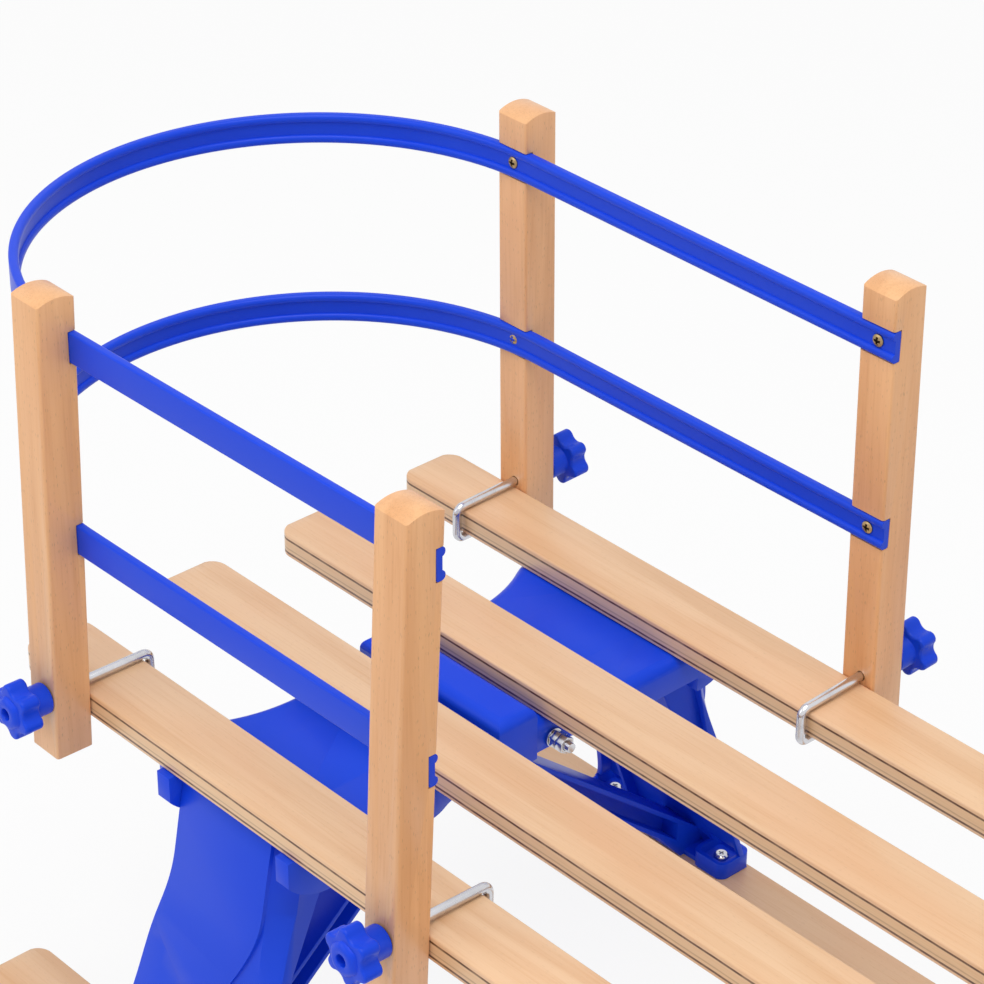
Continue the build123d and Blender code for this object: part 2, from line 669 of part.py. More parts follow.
def leg_slice(outer, inner):
    """Face across the leg between two curves at set distances outside its outer face."""
    levels = [LEG_TOP_Z, SEAT - HIP_DROP, SEAT - KNEE_DROP, SEAT - ANKLE_DROP, SOLE]
    out = [(leg_face(z) + outer, z) for z in levels]
    back = [(leg_face(z) + inner, z) for z in levels]
    return Plane.YZ * make_face([Spline(*out), Line(out[-1], back[-1]), Spline(*back), Line(back[0], out[0])])


def leg_layer(outer, inner):
    """Layer that follows a leg's outer face, endless along x."""
    return Pos(-FAR, 0, 0) * extrude(leg_slice(outer, inner), 2 * FAR)


def leg_outline(inset):
    """Side view of a leg: square shoulders, a knee and a long foot."""
    top = LEG_TOP_Z + inset
    low = SOLE - inset
    rear = Spline(
        (LEG_REAR + inset, SEAT - HIP_DROP),
        (KNEE_X + inset, SEAT - KNEE_DROP),
        (ANKLE_X + inset, SEAT - ANKLE_DROP),
        (TOE_REAR + inset, SEAT - TOE_DROP),
        tangents=[(0, -1), (-1, -1)],
    )
    front = Spline(
        (HIP_FRONT - inset, SEAT - HIP_DROP),
        (KNEE_FRONT - inset, SEAT - KNEE_DROP),
        (TOE_FRONT - inset, SEAT - TOE_DROP),
        tangents=[(0, -1), (0, -1)],
    )
    return across_y([
        Line((LEG_REAR + inset, top), (LEG_REAR + inset, SEAT - HIP_DROP)),
        rear,
        Line((TOE_REAR + inset, SEAT - TOE_DROP), (TOE_REAR + inset, low)),
        Line((TOE_REAR + inset, low), (TOE_FRONT - inset, low)),
        Line((TOE_FRONT - inset, low), (TOE_FRONT - inset, SEAT - TOE_DROP)),
        front,
        Line((HIP_FRONT - inset, SEAT - HIP_DROP), (HIP_FRONT - inset, top)),
        Line((HIP_FRONT - inset, top), (LEG_REAR + inset, top)),
    ])


def front_fall():
    """Cutting body in front of the crease: the flank falls back, deeply at the hip."""
    slices = []
    levels = [(LEG_TOP_Z + CUT, HIP_FRONT, HIP_FALL), (SEAT - HIP_DROP, HIP_FRONT, HIP_FALL)]
    levels += [(SEAT - KNEE_DROP, KNEE_FRONT, KNEE_FALL), (SOLE - CUT, KNEE_FRONT, KNEE_FALL)]
    for z, front, fall in levels:
        run = front - LEG_CREASE
        x0 = LEG_CREASE - run
        x1 = LEG_CREASE + 3 * run
        y0 = leg_face(z) + fall
        y1 = leg_face(z) - 3 * fall
        slices.append(Pos(0, 0, z) * make_face(Polyline((x0, y0), (x1, y1), (x1, y0 + FAR), (x0, y0 + FAR), (x0, y0))))
    return loft(slices, ruled=True)


def tulip_panel():
    """Raised field on the outer face, closing to a point above the foot and fading out to the rear."""
    tip = (PANEL_TIP_X, SEAT - PANEL_TIP_DROP)
    right = Spline(
        (LEG_CREASE, SEAT - HIP_DROP), (PANEL_RIGHT_X, SEAT - PANEL_RIGHT_DROP), tip, tangents=[(0, -1), (-1, -2)]
    )
    left = Spline(
        (KNEE_X, SEAT - KNEE_DROP), (PANEL_LEFT_X, SEAT - PANEL_LEFT_DROP), tip, tangents=[(1, -1), (1, -2)]
    )
    field = across_y([
        Line((KNEE_X, LEG_TOP_Z), (LEG_CREASE, LEG_TOP_Z)),
        Line((LEG_CREASE, LEG_TOP_Z), (LEG_CREASE, SEAT - HIP_DROP)),
        right,
        left,
        Line((KNEE_X, SEAT - KNEE_DROP), (KNEE_X, LEG_TOP_Z)),
    ])
    rear = Pos(KNEE_X, 0, 0) * leg_slice(0, -LEG_WALL / 2)
    front = Pos(LEG_CREASE, 0, 0) * leg_slice(PANEL_UP, -LEG_WALL / 2)
    return loft([rear, front]) & field


def brace():
    """Diagonal from the centre bolt to the foot: a web between two flanges."""
    y_in = BOLT_Y - LUG
    y_top = BOLT_Y + LUG
    y_foot = PAD_MID - PAD_Y / 2
    y_wall = leg_face(SEAT - TOE_DROP) - LEG_WALL / 2

    def edge(y, below):
        return max(SEAT - BRACE_DROP - BRACE_SLOPE * (y - BOLT_Y) - below, SOLE)

    outline = [
        (y_in, BOLT_Z + LUG_UP),
        (y_top, BOLT_Z + LUG_UP),
        (y_top, edge(y_top, 0)),
        (y_wall, edge(y_wall, 0)),
        (y_wall, SOLE),
        (y_foot, SOLE),
        (y_foot - BRACE_T, edge(y_foot - BRACE_T, BRACE_T)),
        (y_in, edge(y_in, BRACE_T)),
    ]
    pocket = [
        (y_top, edge(y_top, BRACE_FLANGE)),
        (y_foot - BRACE_FLANGE, edge(y_foot - BRACE_FLANGE, BRACE_FLANGE)),
        (y_foot - BRACE_FLANGE, edge(y_foot - BRACE_FLANGE, BRACE_T - BRACE_FLANGE)),
        (y_top, edge(y_top, BRACE_T - BRACE_FLANGE)),
    ]
    body = along_x(outline, -BRACE_X, BRACE_X)
    body -= along_x(pocket, BRACE_WEB / 2, BRACE_X + CUT)
    body -= along_x(pocket, -BRACE_X - CUT, -BRACE_WEB / 2)
    return body


def leg_webs():
    """Two webs inside the leg, deep at the top and running out at the ankle."""
    foot = SEAT - ANKLE_DROP
    outline = [
        (leg_face(LEG_SEAT_Z) - LEG_WALL / 2, LEG_SEAT_Z),
        (leg_face(SEAT - HIP_DROP) - LEG_WALL / 2, SEAT - HIP_DROP),
        (leg_face(foot) - LEG_WALL / 2, foot),
        (leg_face(SOLE + SOLE_T) - LEG_WALL / 2, SOLE + SOLE_T),
        (leg_face(SOLE + SOLE_T) - LEG_RIM, SOLE + SOLE_T),
        (leg_face(foot) - LEG_RIM, foot),
        (leg_face(LEG_SEAT_Z) - WEB_TOP, LEG_SEAT_Z),
    ]
    return [along_x(outline, x, x + RIB) for x in (WEB_REAR, WEB_FRONT)]


def leg(xc, s):
    """Moulded leg: flanged wall with relief, foot pads and a diagonal to the centre bolt."""
    fall = front_fall()
    hollow = leg_layer(-LEG_WALL, -2 * LEG_RIM) & leg_outline(LEG_WALL)
    wall = (leg_layer(0, -LEG_RIM) & leg_outline(0)) - fall
    wall -= hollow - Pos(-LEG_WALL / 2, -LEG_WALL, 0) * fall
    wall += tulip_panel() & leg_outline(0)
    for web in leg_webs():
        wall += (web & leg_outline(LEG_WALL / 2)) - Pos(-LEG_WALL / 4, -LEG_WALL / 2, 0) * fall
    over = Pos(0, 0, LEG_SEAT_Z) * Box(2 * FAR, 2 * (leg_face(BEAM_TOP) - LEG_WALL), FAR, align=UP)
    window = Box(FAR, 2 * (leg_face(SOLE) - LEG_WALL), FOOT_OPEN, align=UP)
    rim = SOLE + PAD_H + PAD_RIM
    wall -= over
    wall -= leg_layer(-LEG_WALL, -2 * LEG_RIM) & Pos(TOE_FRONT - PAD_X / 2 + FAR / 2, 0, rim) * window
    foot_l = TOE_FRONT - TOE_REAR
    foot_x = (TOE_FRONT + TOE_REAR) / 2
    body = wall + brace() + Pos(foot_x, PAD_MID, SOLE) * Box(foot_l - PAD_X, PAD_Y - PAD_RIM, SOLE_T, align=UP)
    for x in (TOE_REAR + PAD_INSET, TOE_FRONT - PAD_INSET):
        pad = extrude(RectangleRounded(PAD_X, PAD_Y, PAD_RIM), PAD_H + PAD_RIM)
        tray = RectangleRounded(PAD_X - 2 * PAD_WALL, PAD_Y - 2 * PAD_WALL, PAD_RIM - PAD_WALL)
        tray = Pos(0, 0, PAD_H) * extrude(tray, 2 * PAD_RIM)
        body += Pos(x, PAD_MID, SOLE) * pad
        body -= Pos(x, PAD_MID, SOLE) * tray
        body -= rod_z(x, PAD_MID, SOLE - CUT, SOLE + PAD_H + CUT, FOOT_SCREW_R + HOLE)
    body -= rod_x(-FAR, FAR, BOLT_Y, BOLT_Z, BOLT_R + HOLE)
    return both_sides(Pos(xc, 0, 0) * body, s)


def foot_screws(xc):
    """Pan-head screws that hold the foot pads to the runners."""
    screws = []
    z = SOLE + PAD_H
    for x, y in foot_screw_sites():
        if abs(x - xc) < BEAM_STEP / 2:
            shank = rod_z(x, y, RUN_TOP - FOOT_SCREW_IN, z + CROSS_DEEP, FOOT_SCREW_R)
            screws.append(Pos(x, y, z) * pan_head(PAN_R) + shank)
    return Compound(children=screws)


def slat_screws():
    """Screws driven up through the mouldings into the slats."""
    screws = []
    for x, y in slat_screw_sites():
        head = rod_z(x, y, BEAM_ROOF - SLAT_SCREW_HEAD, BEAM_ROOF, SLAT_SCREW_HEAD_R)
        screws.append(head + rod_z(x, y, BEAM_ROOF, SLAT_BOT + SLAT_SCREW_IN, SCREW_R))
    return Compound(children=screws)


# ---------------------------------------------------------------- front bar
def front_bar():
    """Moulded bar under the slats' front ends, with arms out to the runner curls."""
    middle = BEAM_TOP - BAR_H / 2
    bar = Pos(BAR_X, 0, middle) * Box(BAR_L, 2 * BAR_HALF, BAR_H)
    lip = Pos(BAR_X + LIP_OUT / 2, 0, BAR_LOW) * Box(BAR_L + LIP_OUT, 2 * LIP_HALF, LIP_T, align=UP)
    bar += fillet(lip.edges().filter_by(Axis.Z).group_by(Axis.X)[-1], LIP_R)
    reach = extrude(Plane.XZ * Pos(CURL_CX, CURL_CZ) * Circle(CURL_R2 - PLY / 2 - GAP), FAR, both=True)
    arm_l = X_MAX - BAR_X + BAR_L / 2
    arm_y = (BAR_HALF - BAR_RIB + RUN_Y + SLAT_W / 2) / 2
    arm = Box(arm_l, RUN_Y + SLAT_W / 2 - BAR_HALF + BAR_RIB, BAR_H)
    arm = fillet(arm.edges().filter_by(Axis.Z).group_by(Axis.X)[0], ARM_R)
    well = Box(BAR_L - 2 * BEAM_WALL, BAR_HALF / 2 - 2 * BAR_RIB, BAR_H, align=DOWN)
    for s in SIDES.values():
        bar += (Pos(BAR_X - BAR_L / 2 + arm_l / 2, s * arm_y, middle) * arm) & reach
        for y in (BAR_HALF / 4, BAR_HALF * 3 / 4):
            bar -= Pos(BAR_X, s * y, BEAM_ROOF) * well
        bar -= rod_z(BAR_X + BAR_L / 2 + ROPE_OUT, s * ROPE_Y, BAR_LOW - CUT, BEAM_TOP, ROPE_R)
        for dy in (-TIP_SCREW_DY, TIP_SCREW_DY):
            depth = PLY + TIP_SCREW_IN + END_CLEAR
            bar -= tip_screw_plane(s, dy) * Pos(0, 0, -depth) * extrude(Circle(TIP_SCREW_R + HOLE), depth)
    for x, y in slat_screw_sites():
        if abs(x - BAR_X) < BAR_L / 2:
            bar -= rod_z(x, y, BAR_LOW, BEAM_TOP + CUT, SCREW_R + HOLE)
    return bar


def tip_screws():
    """Pan-head screws through the runner tips into the front bar."""
    depth = PLY + TIP_SCREW_IN
    shank = Pos(0, 0, -depth) * extrude(Circle(TIP_SCREW_R), depth + CROSS_DEEP)
    screw = Pos(0, 0, GAP) * pan_head(TIP_HEAD_R) + shank
    sites = [(s, dy) for s in SIDES.values() for dy in (-TIP_SCREW_DY, TIP_SCREW_DY)]
    return Compound(children=[tip_screw_plane(s, dy) * screw for s, dy in sites])


# ---------------------------------------------------------------- output
X_MIN = min(BandLine(h).cx - BandLine(h).radius for h in BANDS.values()) - BAND_T + BAND_PROUD
SHIFT = -(X_MIN + X_MAX) / 2

for side, s in SIDES.items():
    save(slat(s * SLAT_OUT), f"seat_slat_outer_{side}")
    save(slat(s * SLAT_IN), f"seat_slat_inner_{side}")
    save(runner(s), f"runner_{side}")
    save(running_strip(s), f"running_strip_{side}")

for end, xc in BEAMS.items():
    save(crossbeam(xc), f"crossbeam_{end}")
    save(centre_bolts(xc), f"centre_bolts_{end}")
    save(foot_screws(xc), f"foot_screws_{end}")
    for side, s in SIDES.items():
        save(leg(xc, s), f"leg_{end}_{side}")

save(front_bar(), "front_bar")
save(tip_screws(), "tip_screws")
save(slat_screws(), "slat_screws")

for name in POSTS:
    for side, s in SIDES.items():
        save(post(name, s), f"backrest_post_{name}_{side}")
        save(hook(name, s), f"clamp_hook_{name}_{side}")
        save(knob(name, s), f"star_knob_{name}_{side}")

for name, height in BANDS.items():
    save(band_with_holes(height), f"backrest_band_{name}")

screws = [band_screw(n, s, h) for n in POSTS for s in SIDES.values() for h in BANDS.values()]
save(Compound(children=screws), "band_screws")
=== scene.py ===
"""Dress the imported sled: plywood strips, beech posts, blue mouldings, metal fittings and the stage."""
import math

import bmesh
import bpy
import numpy as np
from bpy.props import (
    FloatProperty,
    FloatVectorProperty,
    IntProperty,
    PointerProperty,
)
from mathutils import Matrix, Vector


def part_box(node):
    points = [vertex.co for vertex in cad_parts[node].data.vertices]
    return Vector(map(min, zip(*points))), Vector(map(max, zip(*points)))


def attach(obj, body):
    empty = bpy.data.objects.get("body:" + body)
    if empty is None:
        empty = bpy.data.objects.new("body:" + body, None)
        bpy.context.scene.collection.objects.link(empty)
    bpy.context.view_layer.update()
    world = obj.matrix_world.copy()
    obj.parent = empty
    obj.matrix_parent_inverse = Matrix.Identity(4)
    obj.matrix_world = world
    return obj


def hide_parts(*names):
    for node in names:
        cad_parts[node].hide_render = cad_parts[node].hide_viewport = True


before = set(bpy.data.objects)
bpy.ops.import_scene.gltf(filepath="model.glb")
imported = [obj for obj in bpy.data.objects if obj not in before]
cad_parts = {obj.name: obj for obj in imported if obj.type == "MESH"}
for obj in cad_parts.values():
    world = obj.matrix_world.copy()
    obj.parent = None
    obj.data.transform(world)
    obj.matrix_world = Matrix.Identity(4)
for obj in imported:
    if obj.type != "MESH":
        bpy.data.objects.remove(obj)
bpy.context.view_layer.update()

bl_info = {
    "name": "Sled with backrest",
    "version": (1, 0, 0),
    "blender": (4, 5, 0),
    "location": "View3D > Sidebar > Sled",
    "description": "Finishes a plywood sled and its clamp-on backrest around its packed frame",
    "category": "Add Mesh",
}

MM = 0.001
SIDES = ("left", "right")
ENDS = ("rear", "front")
LEVELS = ("upper", "lower")
ROD_TAIL = 13.0 * MM
ARC_STATIONS = 80
RESULTS = (("Color", "NodeSocketColor"), ("Roughness", "NodeSocketFloat"), ("Height", "NodeSocketFloat"))
EASED_ANGLE = math.radians(32.0)


def linear(red, green, blue):
    """Linear colour of a display colour given in 0 to 255."""
    values = np.array([red, green, blue]) / 255.0
    low = values / 12.92
    high = ((values + 0.055) / 1.055) ** 2.4
    return tuple(float(v) for v in np.where(values <= 0.04045, low, high))


# ------------------------------------------------------------------ settings
def colour_property(name, description, default):
    return FloatVectorProperty(
        name=name, description=description, default=default, size=3, min=0.0, max=1.0, subtype="COLOR"
    )


def length_property(name, description, default):
    return FloatProperty(
        name=name, description=description, default=default, min=0.0, unit="LENGTH", precision=5
    )


def angle_property(name, description, degrees):
    return FloatProperty(
        name=name, description=description, default=math.radians(degrees), subtype="ANGLE", precision=4
    )


def factor_property(name, description, default, top=1.0):
    return FloatProperty(name=name, description=description, default=default, min=0.0, max=top)


class PlywoodSettings(bpy.types.PropertyGroup):
    veneer: colour_property("Veneer", "Colour of the outer beech veneer", linear(241, 201, 160))
    streak: colour_property("Streak", "Darker streaks of the veneer", linear(222, 170, 122))
    core: colour_property("Core", "Colour of the core on the edge", linear(236, 196, 152))
    glue: colour_property("Glue line", "Dark line between two plies", linear(92, 46, 12))
    upper_line: length_property("Upper glue line", "Depth of the upper glue line", 2.75 * MM)
    lower_line: length_property("Lower glue line", "Depth of the lower glue line", 10.44 * MM)
    faint_line: length_property("Faint glue line", "Depth of the weak line in the core", 8.0 * MM)
    line_width: length_property("Glue line width", "Thickness of a glue line", 1.3 * MM)
    end_radius: length_property("End radius", "Rounded corner at a strip's end", 9.0 * MM)
    ease: length_property("Eased edge", "Radius sanded on the edges", 1.0 * MM)
    curl_radius: length_property("Curl radius", "Radius of the first arc of a runner", 220.0 * MM)
    curl_angle: angle_property("Curl angle", "Turn of the first arc", 45.0)
    hook_radius: length_property("Front radius", "Radius of the tight arc of a runner", 95.0 * MM)
    hook_angle: angle_property("Front angle", "Turn of the tight arc", 75.0)
    tip_length: length_property("Tip", "Straight tip of a runner", 30.0 * MM)


class BackrestSettings(bpy.types.PropertyGroup):
    post: colour_property("Post", "Colour of a beech post", linear(245, 188, 134))
    post_streak: colour_property("Post streak", "Darker streaks of a beech post", linear(222, 158, 104))
    post_ease: length_property("Post edge", "Radius sanded on a post's edges", 0.7 * MM)
    band: length_property("Band", "Thickness of a band over its beads", 4.8 * MM)
    web: length_property("Band web", "Thickness of a band between its beads", 3.2 * MM)
    bead: length_property("Bead", "Height of the bead at a band's edge", 4.4 * MM)
    band_ease: length_property("Band edge", "Radius on a band's outer edges", 1.0 * MM)
    rod_bend: length_property("Rod bend", "Bend radius of a clamp rod's centre line", 4.0 * MM)
    rod_rise: length_property("Rod height", "Rod's centre line above the slat at its inner edge", 2.6 * MM)
    rear_tuck: angle_property("Rear tuck", "Inward lean of the rear posts", 1.26)
    front_tuck: angle_property("Front tuck", "Inward lean of the front posts", 1.99)
    lobes: IntProperty(name="Lobes", description="Lobes of a star knob", default=6, min=3, max=12)
    knob: length_property("Knob", "Radius of a knob over its lobes", 14.0 * MM)
    lobe: length_property("Lobe", "Radius of one lobe's round tip", 3.2 * MM)
    valley: length_property("Valley", "Radius of a knob between two lobes", 10.6 * MM)
    knob_turn: angle_property("Knob turn", "Angle of one lobe above the x axis", 40.2)
    star: length_property("Star", "Thickness of a knob's star", 10.2 * MM)
    star_ease: length_property("Star edge", "Radius on the star's rims", 1.4 * MM)
    crown: length_property("Crown", "Rise of a knob's raised centre", 2.3 * MM)
    crown_foot: length_property("Crown foot", "Radius of the raised centre where it starts", 8.4 * MM)
    crown_face: length_property("Crown face", "Radius of the raised centre's flat face", 5.0 * MM)
    knob_bore: length_property("Knob bore", "Radius of the blind hole in a knob", 3.0 * MM)
    head: length_property("Screw head", "Radius of a backrest screw's head", 3.1 * MM)
    head_rim: length_property("Head rim", "Height of the head's rim over the band", 0.35 * MM)
    head_rise: length_property("Head rise", "Rise of the head's dome over its rim", 0.9 * MM)
    cross: length_property("Cross", "Width of an arm of the cross recess", 0.9 * MM)
    cross_depth: length_property("Cross depth", "Depth of the cross recess", 0.9 * MM)
    knob_hub: length_property("Knob hub", "Radius of a knob's hub", 7.7 * MM)


class MouldingSettings(bpy.types.PropertyGroup):
    blue: colour_property("Blue", "Colour of the moulded parts", linear(12, 68, 224))
    scuff: colour_property("Scuff", "Colour of faint rub marks", linear(48, 98, 230))
    ease: length_property("Eased edge", "Radius on the edges of the mouldings", 0.6 * MM)


class MetalSettings(bpy.types.PropertyGroup):
    zinc: colour_property("Zinc", "Colour of the plated rods and bolts", linear(214, 214, 218))
    steel: colour_property("Steel", "Colour of the running strips", linear(190, 192, 196))
    brass: colour_property("Yellow zinc", "Colour of the backrest screws", linear(186, 160, 116))
    ease: length_property("Eased edge", "Radius on the edges of screws and nuts", 0.15 * MM)


class StageSettings(bpy.types.PropertyGroup):
    floor: colour_property("Floor", "Colour of the floor", (0.92, 0.92, 0.92))
    key: factor_property("Key light", "Strength of the large lamp above", 42.0, 500.0)
    sky: factor_property("Sky", "Strength of the light from all round", 0.50, 10.0)
    position: FloatVectorProperty(
        name="Camera", description="Place of the camera", default=(0.61772, -0.85902, 1.07889),
        subtype="XYZ",
    )
    heading: angle_property("Heading", "Turn of the view from +X", 137.704)
    pitch: angle_property("Pitch", "Rise of the view above level", -31.098)
    roll: angle_property("Roll", "Turn of the camera about its view", 0.297)
    lens: FloatProperty(name="Lens", description="Focal length in mm", default=121.33, min=1.0)


class SledSettings(bpy.types.PropertyGroup):
    plywood: PointerProperty(type=PlywoodSettings)
    backrest: PointerProperty(type=BackrestSettings)
    moulding: PointerProperty(type=MouldingSettings)
    metal: PointerProperty(type=MetalSettings)
    stage: PointerProperty(type=StageSettings)


# ------------------------------------------------------------------ shader nodes
def add(tree, kind, **values):
    """New node; keyword names are attributes, or inputs where they start with in_."""
    made = tree.nodes.new(kind)
    for name, value in values.items():
        if name.startswith("in_"):
            key = name[3:]
            socket = made.inputs[int(key)] if key.isdigit() else made.inputs[key.replace("_", " ")]
            if isinstance(value, bpy.types.NodeSocket):
                tree.links.new(value, socket)
            else:
                socket.default_value = value
        else:
            setattr(made, name, value)
    return made


def maths(tree, operation, first, second=0.0, third=0.0, clamp=False):
    made = add(tree, "ShaderNodeMath", operation=operation, use_clamp=clamp, in_0=first, in_1=second)
    if operation in ("MULTIPLY_ADD", "COMPARE"):
        if isinstance(third, bpy.types.NodeSocket):
            tree.links.new(third, made.inputs[2])
        else:
            made.inputs[2].default_value = third
    return made.outputs[0]


def blend_colours(tree, factor, first, second, kind="MIX"):
    made = add(tree, "ShaderNodeMix", data_type="RGBA", blend_type=kind)
    for socket, value in ((made.inputs[0], factor), (made.inputs[6], first), (made.inputs[7], second)):
        if isinstance(value, bpy.types.NodeSocket):
            tree.links.new(value, socket)
        else:
            socket.default_value = value
    return made.outputs[2]


def span(tree, value, low, high, out_low=0.0, out_high=1.0):
    made = add(tree, "ShaderNodeMapRange", in_0=value, in_1=low, in_2=high, in_3=out_low, in_4=out_high)
    made.interpolation_type = "SMOOTHSTEP"
    return made.outputs[0]


def stretched(tree, vector, scale):
    """The vector with each axis multiplied by its own scale."""
    return add(tree, "ShaderNodeVectorMath", operation="MULTIPLY", in_0=vector, in_1=scale).outputs[0]


def noise(tree, vector, scale=1.0, detail=3.0, roughness=0.5, distortion=0.0):
    made = add(
        tree, "ShaderNodeTexNoise", in_Vector=vector, in_Scale=scale, in_Detail=detail,
        in_Roughness=roughness, in_Distortion=distortion,
    )
    return made.outputs["Fac"]


def new_group(name, inputs):
    """Empty group of a surface with named inputs, its three results, and its input and output nodes."""
    group = bpy.data.node_groups.new(name, "ShaderNodeTree")
    for label, kind, default in inputs:
        socket = group.interface.new_socket(name=label, in_out="INPUT", socket_type=kind)
        if default is not None:
            socket.default_value = default
    for label, kind in RESULTS:
        group.interface.new_socket(name=label, in_out="OUTPUT", socket_type=kind)
    return group, group.nodes.new("NodeGroupInput"), group.nodes.new("NodeGroupOutput")


def beech_group():
    """Beech seen along its grain: soft streaks, broad figure and short dark flecks.

    The first axis of the vector runs along the grain, in metres.
    """
    name = "beech grain"
    if name in bpy.data.node_groups:
        return bpy.data.node_groups[name]
    group, entry, leave = new_group(
        name,
        [
            ("Vector", "NodeSocketVector", None),
            ("Wood", "NodeSocketColor", (0.7, 0.5, 0.3, 1.0)),
            ("Streak", "NodeSocketColor", (0.5, 0.3, 0.2, 1.0)),
            ("Figure", "NodeSocketFloat", 0.5),
            ("Flecks", "NodeSocketFloat", 0.5),
        ],
    )
    vector = entry.outputs["Vector"]
    broad = noise(group, stretched(group, vector, (5.0, 60.0, 60.0)), detail=4.0, distortion=0.6)
    fine = noise(group, stretched(group, vector, (18.0, 900.0, 900.0)), detail=3.0, roughness=0.6)
    cloud = noise(group, stretched(group, vector, (9.0, 22.0, 22.0)), detail=2.0)
    figure = maths(group, "MULTIPLY", span(group, broad, 0.35, 0.68), entry.outputs["Figure"])
    thread = maths(group, "MULTIPLY", span(group, fine, 0.45, 0.75), 0.30)
    amount = maths(group, "ADD", figure, thread, clamp=True)
    colour = blend_colours(group, amount, entry.outputs["Wood"], entry.outputs["Streak"])
    rosy = maths(group, "MULTIPLY", span(group, cloud, 0.4, 0.75), 0.35)
    colour = blend_colours(group, rosy, colour, (0.84, 0.44, 0.23, 1.0))
    cells = add(
        group, "ShaderNodeTexVoronoi", feature="F1",
        in_Vector=stretched(group, vector, (230.0, 1700.0, 1700.0)), in_Scale=1.0, in_Randomness=1.0,
    )
    dash = span(group, cells.outputs["Distance"], 0.10, 0.30, 1.0, 0.0)
    tint = add(group, "ShaderNodeSeparateColor", in_0=cells.outputs["Color"]).outputs[0]
    chosen = span(group, tint, 0.62, 0.70)
    fleck = maths(group, "MULTIPLY", maths(group, "MULTIPLY", dash, chosen), entry.outputs["Flecks"])
    colour = blend_colours(group, fleck, colour, (0.33, 0.17, 0.085, 1.0))
    group.links.new(colour, leave.inputs["Color"])
    group.links.new(span(group, fine, 0.2, 0.8, 0.34, 0.46), leave.inputs["Roughness"])
    height = maths(group, "SUBTRACT", maths(group, "MULTIPLY", fine, 0.35), fleck)
    group.links.new(height, leave.inputs["Height"])
    return group


def mould_group():
    """Moulded plastic: fine even texture, faint flow clouds and rare scuffs."""
    name = "moulded skin"
    if name in bpy.data.node_groups:
        return bpy.data.node_groups[name]
    group, entry, leave = new_group(
        name,
        [
            ("Vector", "NodeSocketVector", None),
            ("Plastic", "NodeSocketColor", (0.0, 0.0, 0.5, 1.0)),
            ("Scuff", "NodeSocketColor", (0.2, 0.2, 0.6, 1.0)),
        ],
    )
    vector = entry.outputs["Vector"]
    skin_texture = noise(group, vector, scale=2600.0, detail=2.0)
    cloud = noise(group, vector, scale=24.0, detail=3.0)
    rub = noise(group, stretched(group, vector, (160.0, 420.0, 420.0)), detail=4.0, roughness=0.7)
    mark = maths(group, "MULTIPLY", span(group, rub, 0.70, 0.78), 0.22)
    tone = blend_colours(group, span(group, cloud, 0.3, 0.7, 0.0, 0.10), entry.outputs["Plastic"],
                         entry.outputs["Scuff"])
    colour = blend_colours(group, mark, tone, entry.outputs["Scuff"])
    group.links.new(colour, leave.inputs["Color"])
    satin = span(group, cloud, 0.2, 0.8, 0.34, 0.42)
    rough = maths(group, "ADD", satin, maths(group, "MULTIPLY", mark, 0.6))
    group.links.new(rough, leave.inputs["Roughness"])
    group.links.new(skin_texture, leave.inputs["Height"])
    return group


def metal_group():
    """Plated or rolled metal: light unevenness, fine draw lines and dull patches."""
    name = "metal skin"
    if name in bpy.data.node_groups:
        return bpy.data.node_groups[name]
    group, entry, leave = new_group(
        name,
        [
            ("Vector", "NodeSocketVector", None),
            ("Metal", "NodeSocketColor", (0.7, 0.7, 0.7, 1.0)),
            ("Smooth", "NodeSocketFloat", 0.2),
            ("Lines", "NodeSocketVector", (60.0, 3000.0, 3000.0)),
        ],
    )
    vector = entry.outputs["Vector"]
    cloud = noise(group, vector, scale=90.0, detail=4.0)
    drawn = noise(group, stretched(group, vector, entry.outputs["Lines"]), detail=2.0)
    darker = blend_colours(group, 1.0, entry.outputs["Metal"], (0.70, 0.70, 0.71, 1.0), "MULTIPLY")
    colour = blend_colours(group, span(group, cloud, 0.35, 0.75, 0.0, 0.6), entry.outputs["Metal"], darker)
    group.links.new(colour, leave.inputs["Color"])
    patch = span(group, cloud, 0.3, 0.8, 0.0, 0.12)
    group.links.new(maths(group, "ADD", entry.outputs["Smooth"], patch), leave.inputs["Roughness"])
    group.links.new(drawn, leave.inputs["Height"])
    return group


def place_group(tree, group, **values):
    made = tree.nodes.new("ShaderNodeGroup")
    made.node_tree = group
    for label, value in values.items():
        socket = made.inputs[label]
        if isinstance(value, bpy.types.NodeSocket):
            tree.links.new(value, socket)
        else:
            socket.default_value = value
    return made


def new_material(name):
    material = bpy.data.materials.new(name)
    material.use_nodes = True
    tree = material.node_tree
    shader = tree.nodes["Principled BSDF"]
    return material, tree, shader


def dress(tree, shader, surface, colour, strength, distance, **constants):
    """Link a surface group's results to the shader; keyword names are its constant inputs."""
    relief = add(
        tree, "ShaderNodeBump",
        in_Strength=strength, in_Distance=distance, in_Height=surface.outputs["Height"],
    )
    tree.links.new(colour, shader.inputs["Base Color"])
    tree.links.new(surface.outputs["Roughness"], shader.inputs["Roughness"])
    tree.links.new(relief.outputs["Normal"], shader.inputs["Normal"])
    for name, value in constants.items():
        shader.inputs[name.replace("_", " ")].default_value = value


def opaque(colour):
    return (*colour, 1.0)


